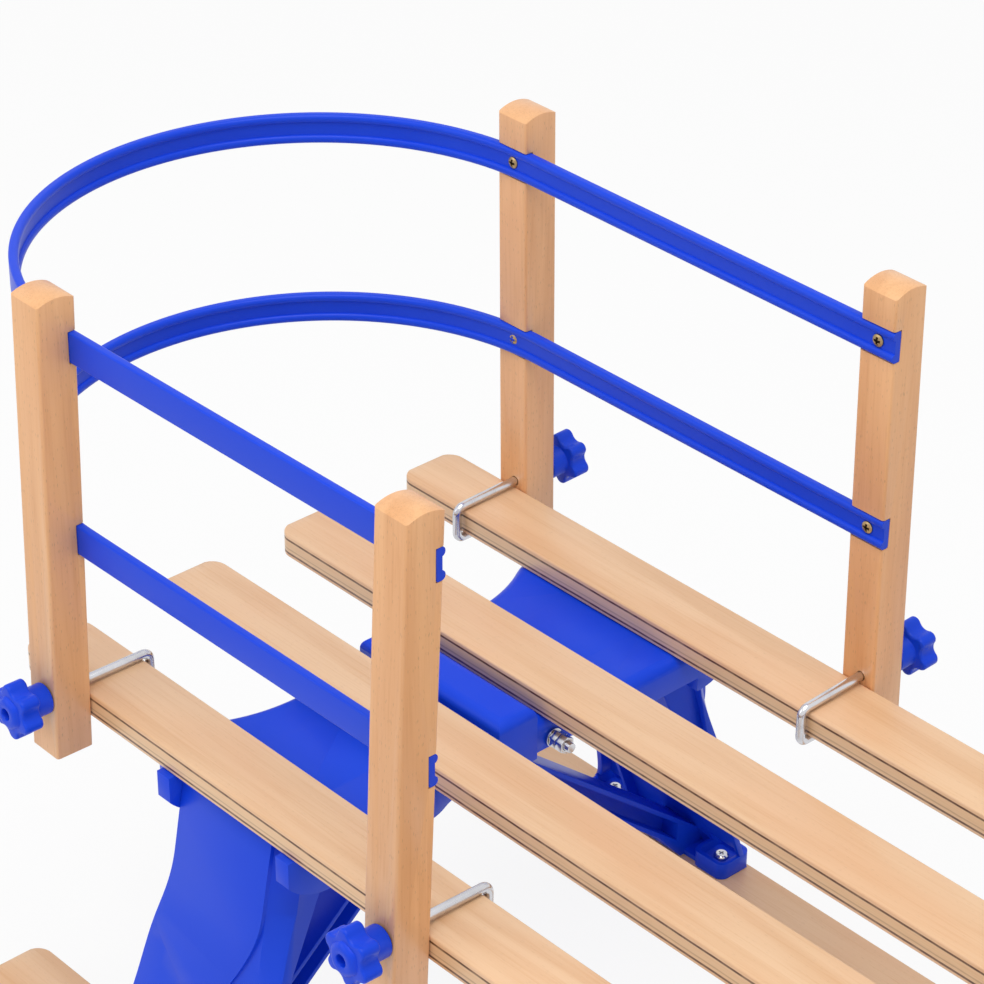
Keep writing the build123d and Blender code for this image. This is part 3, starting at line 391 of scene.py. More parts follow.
def plywood_material():
    """Varnished plywood: beech faces, cream core and two dark glue lines on the edge."""
    name = "varnished plywood"
    if name in bpy.data.materials:
        return bpy.data.materials[name]
    sizes = bpy.context.scene.sled.plywood
    material, tree, shader = new_material(name)
    strip = add(tree, "ShaderNodeAttribute", attribute_name="strip").outputs["Vector"]
    depth = add(tree, "ShaderNodeSeparateXYZ", in_0=strip).outputs["Z"]
    face = place_group(
        tree, beech_group(), Vector=strip, Wood=opaque(sizes.veneer), Streak=opaque(sizes.streak),
        Figure=0.55, Flecks=0.16,
    )
    grain = noise(tree, stretched(tree, strip, (60.0, 400.0, 1500.0)), detail=3.0)
    core = blend_colours(tree, span(tree, grain, 0.4, 0.8, 0.0, 0.35), opaque(sizes.core),
                         opaque(linear(216, 170, 122)))
    half = sizes.line_width / 2
    wander = noise(tree, stretched(tree, strip, (40.0, 0.0, 0.0)), detail=3.0)
    shifted = maths(tree, "ADD", depth, maths(tree, "MULTIPLY_ADD", wander, 0.5 * MM, -0.25 * MM))
    lines = []
    for line in (sizes.upper_line, sizes.lower_line):
        away = maths(tree, "ABSOLUTE", maths(tree, "SUBTRACT", shifted, line))
        lines.append(span(tree, away, half * 0.5, half * 1.25, 1.0, 0.0))
    glue = maths(tree, "MAXIMUM", lines[0], lines[1])
    above = span(tree, shifted, sizes.upper_line - half, sizes.upper_line + half)
    below = span(tree, shifted, sizes.lower_line - half, sizes.lower_line + half, 1.0, 0.0)
    colour = blend_colours(tree, maths(tree, "MULTIPLY", above, below), face.outputs["Color"], core)
    faint = maths(tree, "ABSOLUTE", maths(tree, "SUBTRACT", shifted, sizes.faint_line))
    faint = span(tree, faint, half * 0.2, half, 0.30, 0.0)
    colour = blend_colours(tree, faint, colour, opaque(sizes.glue))
    along = noise(tree, stretched(tree, strip, (90.0, 0.0, 0.0)), detail=4.0)
    streaky = span(tree, along, 0.3, 0.6, 0.72, 1.0)
    colour = blend_colours(tree, maths(tree, "MULTIPLY", glue, streaky), colour, opaque(sizes.glue))
    dress(tree, shader, face, colour, 0.25, 0.12 * MM, Coat_Weight=0.25, Coat_Roughness=0.25)
    return material


def beech_material():
    """Varnished steamed beech with its grain upright."""
    name = "varnished beech"
    if name in bpy.data.materials:
        return bpy.data.materials[name]
    sizes = bpy.context.scene.sled.backrest
    material, tree, shader = new_material(name)
    place = add(tree, "ShaderNodeTexCoord").outputs["Object"]
    parts = add(tree, "ShaderNodeSeparateXYZ", in_0=place)
    upright = add(
        tree, "ShaderNodeCombineXYZ",
        in_0=parts.outputs["Z"], in_1=parts.outputs["X"], in_2=parts.outputs["Y"],
    ).outputs[0]
    wood = place_group(
        tree, beech_group(), Vector=upright, Wood=opaque(sizes.post), Streak=opaque(sizes.post_streak),
        Figure=0.55, Flecks=0.5,
    )
    dress(
        tree, shader, wood, wood.outputs["Color"], 0.3, 0.12 * MM, Coat_Weight=0.25, Coat_Roughness=0.25
    )
    return material


def blue_material():
    """Satin blue moulded plastic."""
    name = "blue moulding"
    if name in bpy.data.materials:
        return bpy.data.materials[name]
    sizes = bpy.context.scene.sled.moulding
    material, tree, shader = new_material(name)
    place = add(tree, "ShaderNodeTexCoord").outputs["Object"]
    skin_nodes = place_group(
        tree, mould_group(), Vector=place, Plastic=opaque(sizes.blue), Scuff=opaque(sizes.scuff)
    )
    dress(
        tree, shader, skin_nodes, skin_nodes.outputs["Color"], 0.12, 0.05 * MM, Specular_IOR_Level=0.24
    )
    return material


def metal_material(name, colour, smooth, lines, distance):
    """Plated or rolled metal, with painted shade: dark brown where a piece's recess attribute is 1."""
    if name in bpy.data.materials:
        return bpy.data.materials[name]
    material, tree, shader = new_material(name)
    place = add(tree, "ShaderNodeTexCoord").outputs["Object"]
    skin_nodes = place_group(
        tree, metal_group(), Vector=place, Metal=opaque(colour), Smooth=smooth, Lines=lines
    )
    # painted shade: the recess attribute blends the metal to dark brown in a screw head's cross recess, where
    # shade falls
    recess = add(tree, "ShaderNodeAttribute", attribute_name="recess").outputs["Fac"]
    shade = blend_colours(tree, recess, skin_nodes.outputs["Color"], (0.03, 0.022, 0.012, 1.0))
    dress(tree, shader, skin_nodes, shade, 0.2, distance, Metallic=1.0)
    return material


def zinc_material():
    return metal_material(
        "bright zinc", bpy.context.scene.sled.metal.zinc, 0.20, (400.0, 400.0, 400.0), 0.02 * MM
    )


def steel_material():
    return metal_material(
        "rolled steel", bpy.context.scene.sled.metal.steel, 0.30, (40.0, 2500.0, 2500.0), 0.03 * MM
    )


def yellow_zinc_material():
    return metal_material(
        "yellow zinc", bpy.context.scene.sled.metal.brass, 0.28, (500.0, 500.0, 500.0), 0.02 * MM
    )


# ------------------------------------------------------------------ meshes
def skin(rings):
    """Quads between neighbouring rings of equal size, and one many-sided cap at each end."""
    count, size, _ = rings.shape
    row = np.arange(count - 1)[:, None] * size
    here = np.arange(size)[None, :]
    after = (here + 1) % size
    quads = np.stack([row + here, row + after, row + size + after, row + size + here], axis=-1)
    faces = quads.reshape(-1, 4).tolist()
    faces.append(list(range(size))[::-1])
    faces.append(list(range((count - 1) * size, count * size)))
    return rings.reshape(-1, 3), faces


def outward(mesh):
    """Turn a closed mesh's faces outwards, by the sign of its volume."""
    shell = bmesh.new()
    shell.from_mesh(mesh)
    if shell.calc_volume(signed=True) < 0.0:
        bmesh.ops.reverse_faces(shell, faces=shell.faces)
        shell.to_mesh(mesh)
    shell.free()


def new_piece(name, points, faces, material, smooth=35.0):
    mesh = bpy.data.meshes.new(name)
    mesh.from_pydata(points.tolist(), [], faces)
    outward(mesh)
    mesh.materials.append(material)
    mesh.shade_smooth()
    mesh.set_sharp_from_angle(angle=math.radians(smooth))
    piece = bpy.data.objects.new(name, mesh)
    bpy.context.scene.collection.objects.link(piece)
    return piece


def store_vectors(mesh, name, values):
    """Keep one vector for each point under a name that a material reads."""
    layer = mesh.attributes.new(name=name, type="FLOAT_VECTOR", domain="POINT")
    layer.data.foreach_set("vector", np.ascontiguousarray(values, dtype=np.float32).ravel())


def stand_for(piece, node):
    """Let a piece ride with the sled in the place of its frame node."""
    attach(piece, "root")
    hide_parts(node)


def refined(node, material, ease):
    """Copy of a frame node with its points merged, flat faces cleaned and edges eased."""
    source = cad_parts[node]
    mesh = source.data.copy()
    mesh.name = node + "_eased"
    shell = bmesh.new()
    shell.from_mesh(mesh)
    bmesh.ops.remove_doubles(shell, verts=shell.verts, dist=0.003 * MM)
    bmesh.ops.dissolve_limit(
        shell, angle_limit=math.radians(0.4), verts=shell.verts, edges=shell.edges, delimit={"NORMAL"}
    )
    many_sided = [face for face in shell.faces if len(face.verts) > 4]
    bmesh.ops.triangulate(shell, faces=many_sided)
    shell.to_mesh(mesh)
    shell.free()
    mesh.materials.clear()
    mesh.materials.append(material)
    piece = bpy.data.objects.new(node + "_eased", mesh)
    bpy.context.scene.collection.objects.link(piece)
    if ease:
        edge = piece.modifiers.new("eased edge", "BEVEL")
        edge.width = ease
        edge.segments = 2
        edge.limit_method = "ANGLE"
        edge.angle_limit = EASED_ANGLE
        edge.use_clamp_overlap = True
        edge.miter_outer = "MITER_ARC"
        graph = bpy.context.evaluated_depsgraph_get()
        finished = bpy.data.meshes.new_from_object(piece.evaluated_get(graph))
        piece.modifiers.clear()
        piece.data = finished
        bpy.data.meshes.remove(mesh)
    piece.data.shade_smooth()
    piece.data.set_sharp_from_angle(angle=EASED_ANGLE)
    stand_for(piece, node)
    return piece


def centred_stations(length, end):
    """Distances along a strip, crowded towards both ends."""
    turn = np.linspace(0.0, math.pi / 2, 9)
    near = end * (1.0 - np.cos(turn))
    return near, length - near[::-1]


def strip_rings(line, stations, length, width, thick, end, ease):
    """Rings of a flat strip with rounded ends and eased edges.

    At a distance d from an end the half width is that of a corner arc of radius end, and the half
    thickness falls within the last ease of length along an arc of that radius. Each ring is a
    rectangle of those half sizes with rounded corners, square to the line.
    """
    from_end = np.minimum(stations, length - stations)
    inset = np.clip(end - from_end, 0.0, end)
    half_width = width / 2 - end + np.sqrt(np.maximum(end**2 - inset**2, 0.0)) if end else np.full_like(
        stations, width / 2)
    drop = np.clip(ease - from_end, 0.0, ease)
    half_thick = thick / 2 - ease + np.sqrt(np.maximum(ease**2 - drop**2, 0.0))
    turn = np.linspace(0.0, math.pi / 2, 4)
    corner_turns = np.concatenate([turn + math.pi / 2 * k for k in range(4)])
    sign_y = np.repeat([1.0, -1.0, -1.0, 1.0], len(turn))
    sign_z = np.repeat([1.0, 1.0, -1.0, -1.0], len(turn))
    across = sign_y * (half_width[:, None] - ease) + ease * np.cos(corner_turns)
    up = sign_z * (half_thick[:, None] - ease) + ease * np.sin(corner_turns)
    x, z, angle = line(stations)
    rings = np.stack(
        [
            x[:, None] - np.sin(angle)[:, None] * up,
            across,
            z[:, None] + np.cos(angle)[:, None] * up,
        ],
        axis=-1,
    )
    along = np.broadcast_to(stations[:, None], up.shape)
    return rings, np.stack([along, across, thick / 2 - up], axis=-1)


def plywood_strip(name, line, stations, length, corners, seed):
    """Plywood strip along a line; corners are its node's box."""
    sizes = bpy.context.scene.sled.plywood
    low, high = corners
    width = high[1] - low[1]
    thick = frame_thickness()
    rings, strip = strip_rings(line, stations, length, width, thick, sizes.end_radius, sizes.ease)
    rings[..., 1] += (low[1] + high[1]) / 2
    strip[..., 0] += seed * 3.7
    strip[..., 1] += seed * 0.31
    points, faces = skin(rings)
    piece = new_piece(name, points, faces, plywood_material())
    store_vectors(piece.data, "strip", strip.reshape(-1, 3))
    return piece


def frame_thickness():
    """Thickness of the plywood, read off a slat."""
    low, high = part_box("seat_slat_inner_left")
    return high[2] - low[2]


def runner_line(corners, thick, offset=0.0):
    """Centre line of a runner: flat, an easy arc, a tight arc and a straight tip.

    Each arc turns the line by its distance over its radius, and the next stretch starts where it
    ends. The corners are those of the plywood runner; offset moves the line outwards.
    """
    sizes = bpy.context.scene.sled.plywood
    low, high = corners
    first, second = sizes.curl_radius, sizes.hook_radius
    turn, bend = sizes.curl_angle, sizes.hook_angle
    flat = high[0] - thick / 2 - second - (first - second) * math.sin(turn)
    level = low[2] + thick / 2
    lengths = [flat - low[0], turn * (first + offset), bend * (second + offset), sizes.tip_length]
    edges = np.cumsum(lengths)
    centre_one = (flat, level + first)
    apart = first - second
    centre_two = (flat + apart * math.sin(turn), level + first - apart * math.cos(turn))

    def line(s):
        a_one = np.clip((s - edges[0]) / (first + offset), 0.0, turn)
        a_two = np.clip((s - edges[1]) / (second + offset), 0.0, bend)
        angle = a_one + a_two
        x = np.where(
            s < edges[0], low[0] + s,
            np.where(s < edges[1], centre_one[0] + (first + offset) * np.sin(angle),
                     centre_two[0] + (second + offset) * np.sin(angle)),
        )
        z = np.where(
            s < edges[0], level - offset,
            np.where(s < edges[1], centre_one[1] - (first + offset) * np.cos(angle),
                     centre_two[1] - (second + offset) * np.cos(angle)),
        )
        beyond = np.maximum(s - edges[2], 0.0)
        return x + beyond * np.cos(angle), z + beyond * np.sin(angle), angle

    return line, edges


# ------------------------------------------------------------------ pieces
def build_slats():
    """Seat slats: straight strips with rounded ends."""
    sizes = bpy.context.scene.sled.plywood
    seed = 1
    for row in ("outer", "inner"):
        for side in SIDES:
            node = f"seat_slat_{row}_{side}"
            low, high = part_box(node)
            length = high[0] - low[0]
            near, far = centred_stations(length, sizes.end_radius)
            middle = (low[2] + high[2]) / 2

            def line(s, start=low[0], level=middle):
                return start + s, np.full_like(s, level), np.zeros_like(s)

            stations = np.concatenate([near, far])
            piece = plywood_strip(node + "_ply", line, stations, length, (low, high), seed)
            stand_for(piece, node)
            seed += 1


def build_runners():
    """Runners: plywood strips curled up at the front, each on its steel strip."""
    sizes = bpy.context.scene.sled.plywood
    thick = frame_thickness()
    for index, side in enumerate(SIDES):
        node = f"runner_{side}"
        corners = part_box(node)
        line, edges = runner_line(corners, thick)
        length = edges[3]
        near, far = centred_stations(length, sizes.end_radius)
        arcs = np.linspace(edges[0], edges[2], ARC_STATIONS)
        stations = np.concatenate([near, arcs, far])
        piece = plywood_strip(node + "_ply", line, stations, length, corners, 11 + index)
        stand_for(piece, node)

        strip_node = f"running_strip_{side}"
        low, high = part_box(strip_node)
        steel = corners[0][2] - low[2]
        offset = (thick + steel) / 2
        line, edges = runner_line(corners, thick, offset)
        start = low[0] - corners[0][0]
        length = edges[2] - start
        first_stations = np.array([0.0, steel / 4, steel])
        stations = np.concatenate([first_stations, np.linspace(edges[0], edges[2], ARC_STATIONS) - start])
        rings, _ = strip_rings(
            lambda s, shift=start, path=line: path(s + shift), stations, length, high[1] - low[1], steel, 0.0,
            steel / 4,
        )
        rings[..., 1] += (low[1] + high[1]) / 2
        points, faces = skin(rings)
        piece = new_piece(strip_node + "_bar", points, faces, steel_material())
        stand_for(piece, strip_node)


def band_course(node, radius_out):
    """Turn and straight length of a band's runs, read off its frame node.

    The runs touch the half circle, so a run's distance from the circle's centre is the radius. With
    the front corner at a forward distance dx and a sideways distance dy from the centre, the run is
    turned inwards by atan(dx / dy) - acos(radius / hypot(dx, dy)).
    """
    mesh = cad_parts[node].data
    points = np.empty(len(mesh.vertices) * 3)
    mesh.vertices.foreach_get("co", points)
    points = points.reshape(-1, 3)
    front = points[:, 0].max()
    dx = front - points[:, 0].min() - radius_out
    dy = points[points[:, 0] > front - MM][:, 1].max()
    turn = math.atan2(dx, dy) - math.acos(radius_out / math.hypot(dx, dy))
    return turn, (dx - radius_out * math.sin(turn)) / math.cos(turn)


def band_profile(height):
    """Section of a band as distance from its back and height from its middle.

    The back is flat with rounded edges. Each edge of the front has a bead, a half ellipse over the
    bead's height, and a hollow arc joins it to the flat web.
    """
    sizes = bpy.context.scene.sled.backrest
    half = height / 2
    ease = sizes.band_ease
    turn = np.linspace(0.0, math.pi / 2, 6)
    back_depth = ease - ease * np.cos(turn)
    back_rise = half - ease + ease * np.sin(turn)
    shoulder = sizes.band * 0.62
    swell = np.linspace(0.0, math.pi, 15)
    bead_depth = shoulder + (sizes.band - shoulder) * np.sin(swell)
    bead_rise = half - sizes.bead / 2 + sizes.bead / 2 * np.cos(swell)
    bead_depth = np.where(swell > math.pi / 2, np.maximum(bead_depth, sizes.web), bead_depth)
    hollow = np.array([0.10, 0.25])
    web_depth = np.full_like(hollow, sizes.web)
    web_rise = half - sizes.bead * (1.0 + hollow)
    depth = np.concatenate([back_depth, bead_depth, web_depth])
    rise = np.concatenate([back_rise, bead_rise, web_rise])
    return np.concatenate([depth, depth[::-1]]), np.concatenate([rise, -rise[::-1]])


def build_bands():
    """Backrest bands: one beaded section carried along a straight run, a half circle and a run."""
    for level in LEVELS:
        node = f"backrest_band_{level}"
        low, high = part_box(node)
        radius = (high[1] - low[1]) / 2
        centre = low[0] + radius
        depth, rise = band_profile(high[2] - low[2])
        turn, length = band_course(node, radius)
        ends = np.array([0.0, 0.2, 0.6, 1.2]) * MM
        run = length - ends
        bend = np.linspace(-turn, math.pi + turn, 97)
        angle = np.concatenate([np.full_like(run, -turn), bend, np.full_like(run, math.pi + turn)])
        along = np.concatenate([run, np.zeros_like(bend), -run[::-1]])
        reach = radius - depth
        rings = np.stack(
            [
                centre - np.sin(angle)[:, None] * reach + np.cos(angle)[:, None] * along[:, None],
                np.cos(angle)[:, None] * reach + np.sin(angle)[:, None] * along[:, None],
                np.broadcast_to((low[2] + high[2]) / 2 + rise, (len(angle), len(rise))),
            ],
            axis=-1,
        )
        points, faces = skin(rings)
        piece = new_piece(node + "_moulded", points, faces, blue_material())
        stand_for(piece, node)


def tuck_of(end):
    sizes = bpy.context.scene.sled.backrest
    return sizes.rear_tuck if end == "rear" else sizes.front_tuck


def rounded_path(corners, radius):
    """Line in a plane through corner points, each inner corner turned on an arc of the radius.

    At a corner the two directions differ by an angle; the arc starts and ends at the radius times
    the tangent of half that angle before and after the corner.
    """
    corners = np.asarray(corners, dtype=float)
    path = [corners[:1]]
    for before, corner, after in zip(corners[:-2], corners[1:-1], corners[2:]):
        into = (corner - before) / np.linalg.norm(corner - before)
        out = (after - corner) / np.linalg.norm(after - corner)
        turn = math.acos(float(np.clip(into @ out, -1.0, 1.0)))
        start = corner - into * radius * math.tan(turn / 2)
        normal = out - into * (into @ out)
        normal /= np.linalg.norm(normal)
        steps = np.linspace(0.0, turn, 13)[:, None]
        path.append(start + radius * (np.sin(steps) * into + (1.0 - np.cos(steps)) * normal))
    path.append(corners[-1:])
    return np.concatenate(path)


def rod_corners(end):
    """Corners of the left clamp rod's line in y and z, from its node, the slat and the post's tuck."""
    sizes = bpy.context.scene.sled.backrest
    low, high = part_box(f"clamp_hook_{end}_left")
    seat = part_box("seat_slat_outer_left")[1][2]
    radius = (high[0] - low[0]) / 2
    tuck = tuck_of(end)
    inner = low[1] + radius
    top = seat + sizes.rod_rise
    outer = high[1] - radius * math.sin(tuck)
    bottom = low[2] + radius
    tail = inner + ROD_TAIL
    handle = (outer, top + (outer - inner) * math.tan(tuck))
    return [handle, (inner, top), (inner, bottom), (tail, bottom)], radius


def tube(path, radius, sides=20):
    """Round rod along a path, its ends drawn in over a short dome.

    Each ring is a circle square to the path; the end rings shrink as the cosine of a quarter turn.
    """
    step = np.gradient(path, axis=0)
    step /= np.linalg.norm(step, axis=1)[:, None]
    flank = np.tile(np.array([1.0, 0.0, 0.0]), (len(path), 1))
    up = np.cross(step, flank)
    dome = np.linspace(0.0, math.radians(80.0), 5)[1:]
    grow = np.concatenate([np.cos(dome)[::-1], np.ones(len(path)), np.cos(dome)])
    reach = 0.35 * radius * np.sin(dome)
    start = path[0] - step[0] * reach[::-1, None] + step[0] * reach[-1]
    finish = path[-1] + step[-1] * reach[:, None] - step[-1] * reach[-1]
    middle = path.copy()
    middle[0] += step[0] * reach[-1]
    middle[-1] -= step[-1] * reach[-1]
    centre = np.concatenate([start, middle, finish])
    extra = len(dome)
    up = np.concatenate([np.repeat(up[:1], extra, 0), up, np.repeat(up[-1:], extra, 0)])
    flank = np.concatenate([np.repeat(flank[:1], extra, 0), flank, np.repeat(flank[-1:], extra, 0)])
    turn = np.linspace(0.0, 2 * math.pi, sides, endpoint=False)
    ring = np.cos(turn)[None, :, None] * up[:, None, :] + np.sin(turn)[None, :, None] * flank[:, None, :]
    return centre[:, None, :] + radius * grow[:, None, None] * ring


def build_hooks():
    """Clamp rods: round wire through each post, over the slat and under it."""
    sizes = bpy.context.scene.sled.backrest
    for end in ENDS:
        low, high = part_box(f"clamp_hook_{end}_left")
        corners, radius = rod_corners(end)
        line = rounded_path(corners, sizes.rod_bend)
        path = np.insert(line, 0, (low[0] + high[0]) / 2, axis=1)
        for side in SIDES:
            points, faces = skin(tube(path, radius))
            if side == "right":
                points = points * np.array([1.0, -1.0, 1.0])
            piece = new_piece(f"clamp_rod_{end}_{side}", points, faces, zinc_material())
            stand_for(piece, f"clamp_hook_{end}_{side}")


def star_radius(turn):
    """Radius of the star's outline: round lobe tips joined by hollow arcs that touch them.

    A circle of radius q about a centre at distance p, seen from the middle at an angle t from that
    centre, lies at p cos t + sqrt(q^2 - p^2 sin^2 t) on its far side and at the difference of the two
    on its near side. Lobes use the far side of their circle and valleys the near side of theirs.
    """
    sizes = bpy.context.scene.sled.backrest
    half = math.pi / sizes.lobes
    folded = np.abs((turn + half) % (2 * half) - half)
    lobe, valley = sizes.lobe, sizes.valley
    away = sizes.knob - lobe
    dip = (away**2 + valley**2 - 2 * away * math.cos(half) * valley - lobe**2) / (
        2 * (lobe - valley + away * math.cos(half))
    )
    far = valley + dip
    share = lobe / (lobe + dip)
    joint = np.array([away, 0.0]) * (1 - share) + share * far * np.array([math.cos(half), math.sin(half)])
    switch = math.atan2(joint[1], joint[0])
    on_lobe = away * np.cos(folded) + np.sqrt(np.maximum(lobe**2 - (away * np.sin(folded)) ** 2, 0.0))
    other = half - folded
    in_valley = far * np.cos(other) - np.sqrt(np.maximum(dip**2 - (far * np.sin(other)) ** 2, 0.0))
    return np.where(folded < switch, on_lobe, in_valley)


def knob_surface(hub_length):
    """Star knob about its axis: hub, soft-edged star, raised centre and a blind hole.

    Rings run from the hub's end out over the star's back, round its rim, in over the front to the
    raised centre and down to the bottom of the hole. Each ring mixes a circle with the star's
    outline, which fades out between the rim and the raised centre.
    """
    sizes = bpy.context.scene.sled.backrest
    turn = np.linspace(0.0, 2 * math.pi, sizes.lobes * 24, endpoint=False)
    outline = star_radius(turn)
    hub, ease, bore = sizes.knob_hub, sizes.star_ease, sizes.knob_bore
    back, front = hub_length, hub_length + sizes.star
    top = front + sizes.crown
    quarter = np.linspace(0.0, math.pi / 2, 6)
    soft, chamfer = 0.5 * MM, 0.4 * MM
    hole_depth = 6.0 * MM
    rows = [(0.0, hub - chamfer, 0.0, 0.0), (0.3 * chamfer, hub - 0.3 * chamfer, 0.0, 0.0),
            (chamfer, hub, 0.0, 0.0), (back - soft, hub, 0.0, 0.0),
            (back - 0.3 * soft, hub + 0.3 * soft, 0.0, 0.0), (back, hub + soft, 0.0, 0.0)]
    rows += [(back + ease * (1 - math.cos(q)), 0.0, 1.0, ease * (1 - math.sin(q))) for q in quarter]
    rows += [(front - ease + ease * math.sin(q), 0.0, 1.0, ease * (1 - math.cos(q))) for q in quarter]
    foot, face = sizes.crown_foot, sizes.crown_face
    for share in np.linspace(0.0, 1.0, 7):
        level = front + sizes.crown * (1 - (1 - share) ** 2) ** 0.75 if share else front + 0.05 * MM
        rows.append((level, foot + (face - foot) * share, 0.25 * (1 - share), 0.0))
    rows += [(top, bore + 0.6 * MM, 0.0, 0.0), (top - 0.12 * MM, bore + 0.2 * MM, 0.0, 0.0),
             (top - soft, bore, 0.0, 0.0), (top - hole_depth, bore * 0.96, 0.0, 0.0)]
    rings = []
    for level, size, weight, inset in rows:
        circle = size * (1.0 - weight) if weight < 1.0 else 0.0
        star = (outline - inset) if weight == 1.0 else weight * size * outline / sizes.knob * 1.08
        reach = circle + star
        across, upright = reach * np.cos(turn), reach * np.sin(turn)
        rings.append(np.stack([across, upright, np.full_like(turn, level)], axis=-1))
    return np.stack(rings)


def build_knobs():
    """Star knobs on the outer ends of the clamp rods."""
    sizes = bpy.context.scene.sled.backrest
    for end in ENDS:
        tuck = tuck_of(end)
        low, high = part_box(f"star_knob_{end}_left")
        hook_low, hook_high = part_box(f"clamp_hook_{end}_left")
        inner_y, inner_z = rod_corners(end)[0][1]
        length = (high[1] - low[1]) / math.cos(tuck) - 2 * sizes.knob_hub * math.sin(tuck)
        hub_length = length - sizes.star - sizes.crown
        start_y = low[1] + sizes.knob_hub * math.sin(tuck)
        start_z = inner_z + (start_y - inner_y) * math.tan(tuck)
        rings = knob_surface(hub_length)
        turn = sizes.knob_turn
        flat_x = rings[..., 0] * math.cos(turn) - rings[..., 1] * math.sin(turn)
        flat_z = rings[..., 0] * math.sin(turn) + rings[..., 1] * math.cos(turn)
        away = rings[..., 2]
        x = (hook_low[0] + hook_high[0]) / 2 + flat_x
        y = start_y + away * math.cos(tuck) - flat_z * math.sin(tuck)
        z = start_z + away * math.sin(tuck) + flat_z * math.cos(tuck)
        for side in SIDES:
            sign = 1.0 if side == "left" else -1.0
            points, faces = skin(np.stack([x, sign * y, z], axis=-1))
            piece = new_piece(f"knob_{end}_{side}", points, faces, blue_material(), smooth=50.0)
            stand_for(piece, f"star_knob_{end}_{side}")


def build_posts():
    """Backrest posts with sanded edges."""
    sizes = bpy.context.scene.sled.backrest
    for end in ENDS:
        for side in SIDES:
            refined(f"backrest_post_{end}_{side}", beech_material(), sizes.post_ease)


def build_mouldings():
    """Crossbeams, legs and front bar in blue plastic."""
    sizes = bpy.context.scene.sled.moulding
    for end in ENDS:
        refined(f"crossbeam_{end}", blue_material(), sizes.ease)
        for side in SIDES:
            refined(f"leg_{end}_{side}", blue_material(), sizes.ease)
    refined("front_bar", blue_material(), sizes.ease)


def build_fasteners():
    """Screws, bolts and nuts."""
    ease = bpy.context.scene.sled.metal.ease
    for end in ENDS:
        refined(f"centre_bolts_{end}", zinc_material(), ease)
        refined(f"foot_screws_{end}", zinc_material(), ease)
    refined("tip_screws", zinc_material(), ease)
    refined("slat_screws", zinc_material(), ease)
    refined("band_screws", yellow_zinc_material(), 0.0)
    build_screw_heads()


def cross_head():
    """Rings of a domed screw head with a cross recess, and how deep each point lies in the cross.

    At a distance r from the axis the dome stands at the rim's height plus a rise that falls with the
    square of r over the radius. A point lies in the cross where the smaller of its two offsets is
    within half an arm's width and the larger within an arm's reach; there the surface drops.
    """
    sizes = bpy.context.scene.sled.backrest
    radius, rim, rise = sizes.head, sizes.head_rim, sizes.head_rise
    turn = np.linspace(0.0, 2 * math.pi, 72, endpoint=False)
    side = [(radius * 0.97, -rim), (radius, -rim * 0.6), (radius, rim * 0.4), (radius * 0.98, rim * 0.85)]
    reach = np.linspace(radius * 0.94, radius * 0.02, 28)
    far = np.concatenate([[place for place, _ in side], reach])
    height = np.concatenate([[level for _, level in side], rim + rise * (1.0 - (reach / radius) ** 2)])
    across = far[:, None] * np.cos(turn)
    upright = far[:, None] * np.sin(turn)
    small = np.minimum(np.abs(across), np.abs(upright))
    large = np.maximum(np.abs(across), np.abs(upright))
    arm, soft = sizes.cross / 2, sizes.cross / 4
    in_arm = np.clip((arm + soft - small) / soft, 0.0, 1.0)
    inside = in_arm * np.clip((radius * 0.62 - large) / soft, 0.0, 1.0)
    out = height[:, None] - inside * sizes.cross_depth
    return np.stack([across, upright, out], axis=-1), inside


def build_screw_heads():
    """Heads of the backrest screws, proud of the bands' webs on the rider's side."""
    sizes = bpy.context.scene.sled.backrest
    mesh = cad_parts["band_screws"].data
    places = np.empty(len(mesh.vertices) * 3)
    mesh.vertices.foreach_get("co", places)
    places = places.reshape(-1, 3)
    rings, inside = cross_head()
    points, faces, painted_recess_shade = [], [], []
    for level in LEVELS:
        node = f"backrest_band_{level}"
        low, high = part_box(node)
        turn, _ = band_course(node, (high[1] - low[1]) / 2)
        for sign in (1.0, -1.0):
            inward = np.array([-math.sin(turn), -sign * math.cos(turn), 0.0])
            upward = np.array([0.0, 0.0, 1.0])
            level_way = np.cross(upward, inward)
            for end in ENDS:
                post_low, post_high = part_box(f"backrest_post_{end}_left")
                near = (places[:, 2] > low[2]) & (places[:, 2] < high[2]) & (places[:, 1] * sign > 0.0)
                near &= (places[:, 0] > post_low[0]) & (places[:, 0] < post_high[0])
                screw = places[near]
                seat = (screw.min(axis=0) + screw.max(axis=0)) / 2
                seat[1] = sign * np.abs(screw[:, 1]).min()
                seat += inward * sizes.head_rim
                basis = np.array([level_way, upward, inward])
                made = seat + rings @ basis
                these, quads = skin(made)
                start = sum(len(group) for group in points)
                faces += [[corner + start for corner in face] for face in quads]
                points.append(these)
                painted_recess_shade.append(inside.ravel())
    points, painted_recess_shade = np.concatenate(points), np.concatenate(painted_recess_shade)
    piece = new_piece("band_screw_heads", points, faces, yellow_zinc_material())
    # the cross mask is stored as painted shade, which the metal material draws dark brown in the recess
    store_vectors(piece.data, "recess", np.repeat(painted_recess_shade[:, None], 3, axis=1))
    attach(piece, "root")


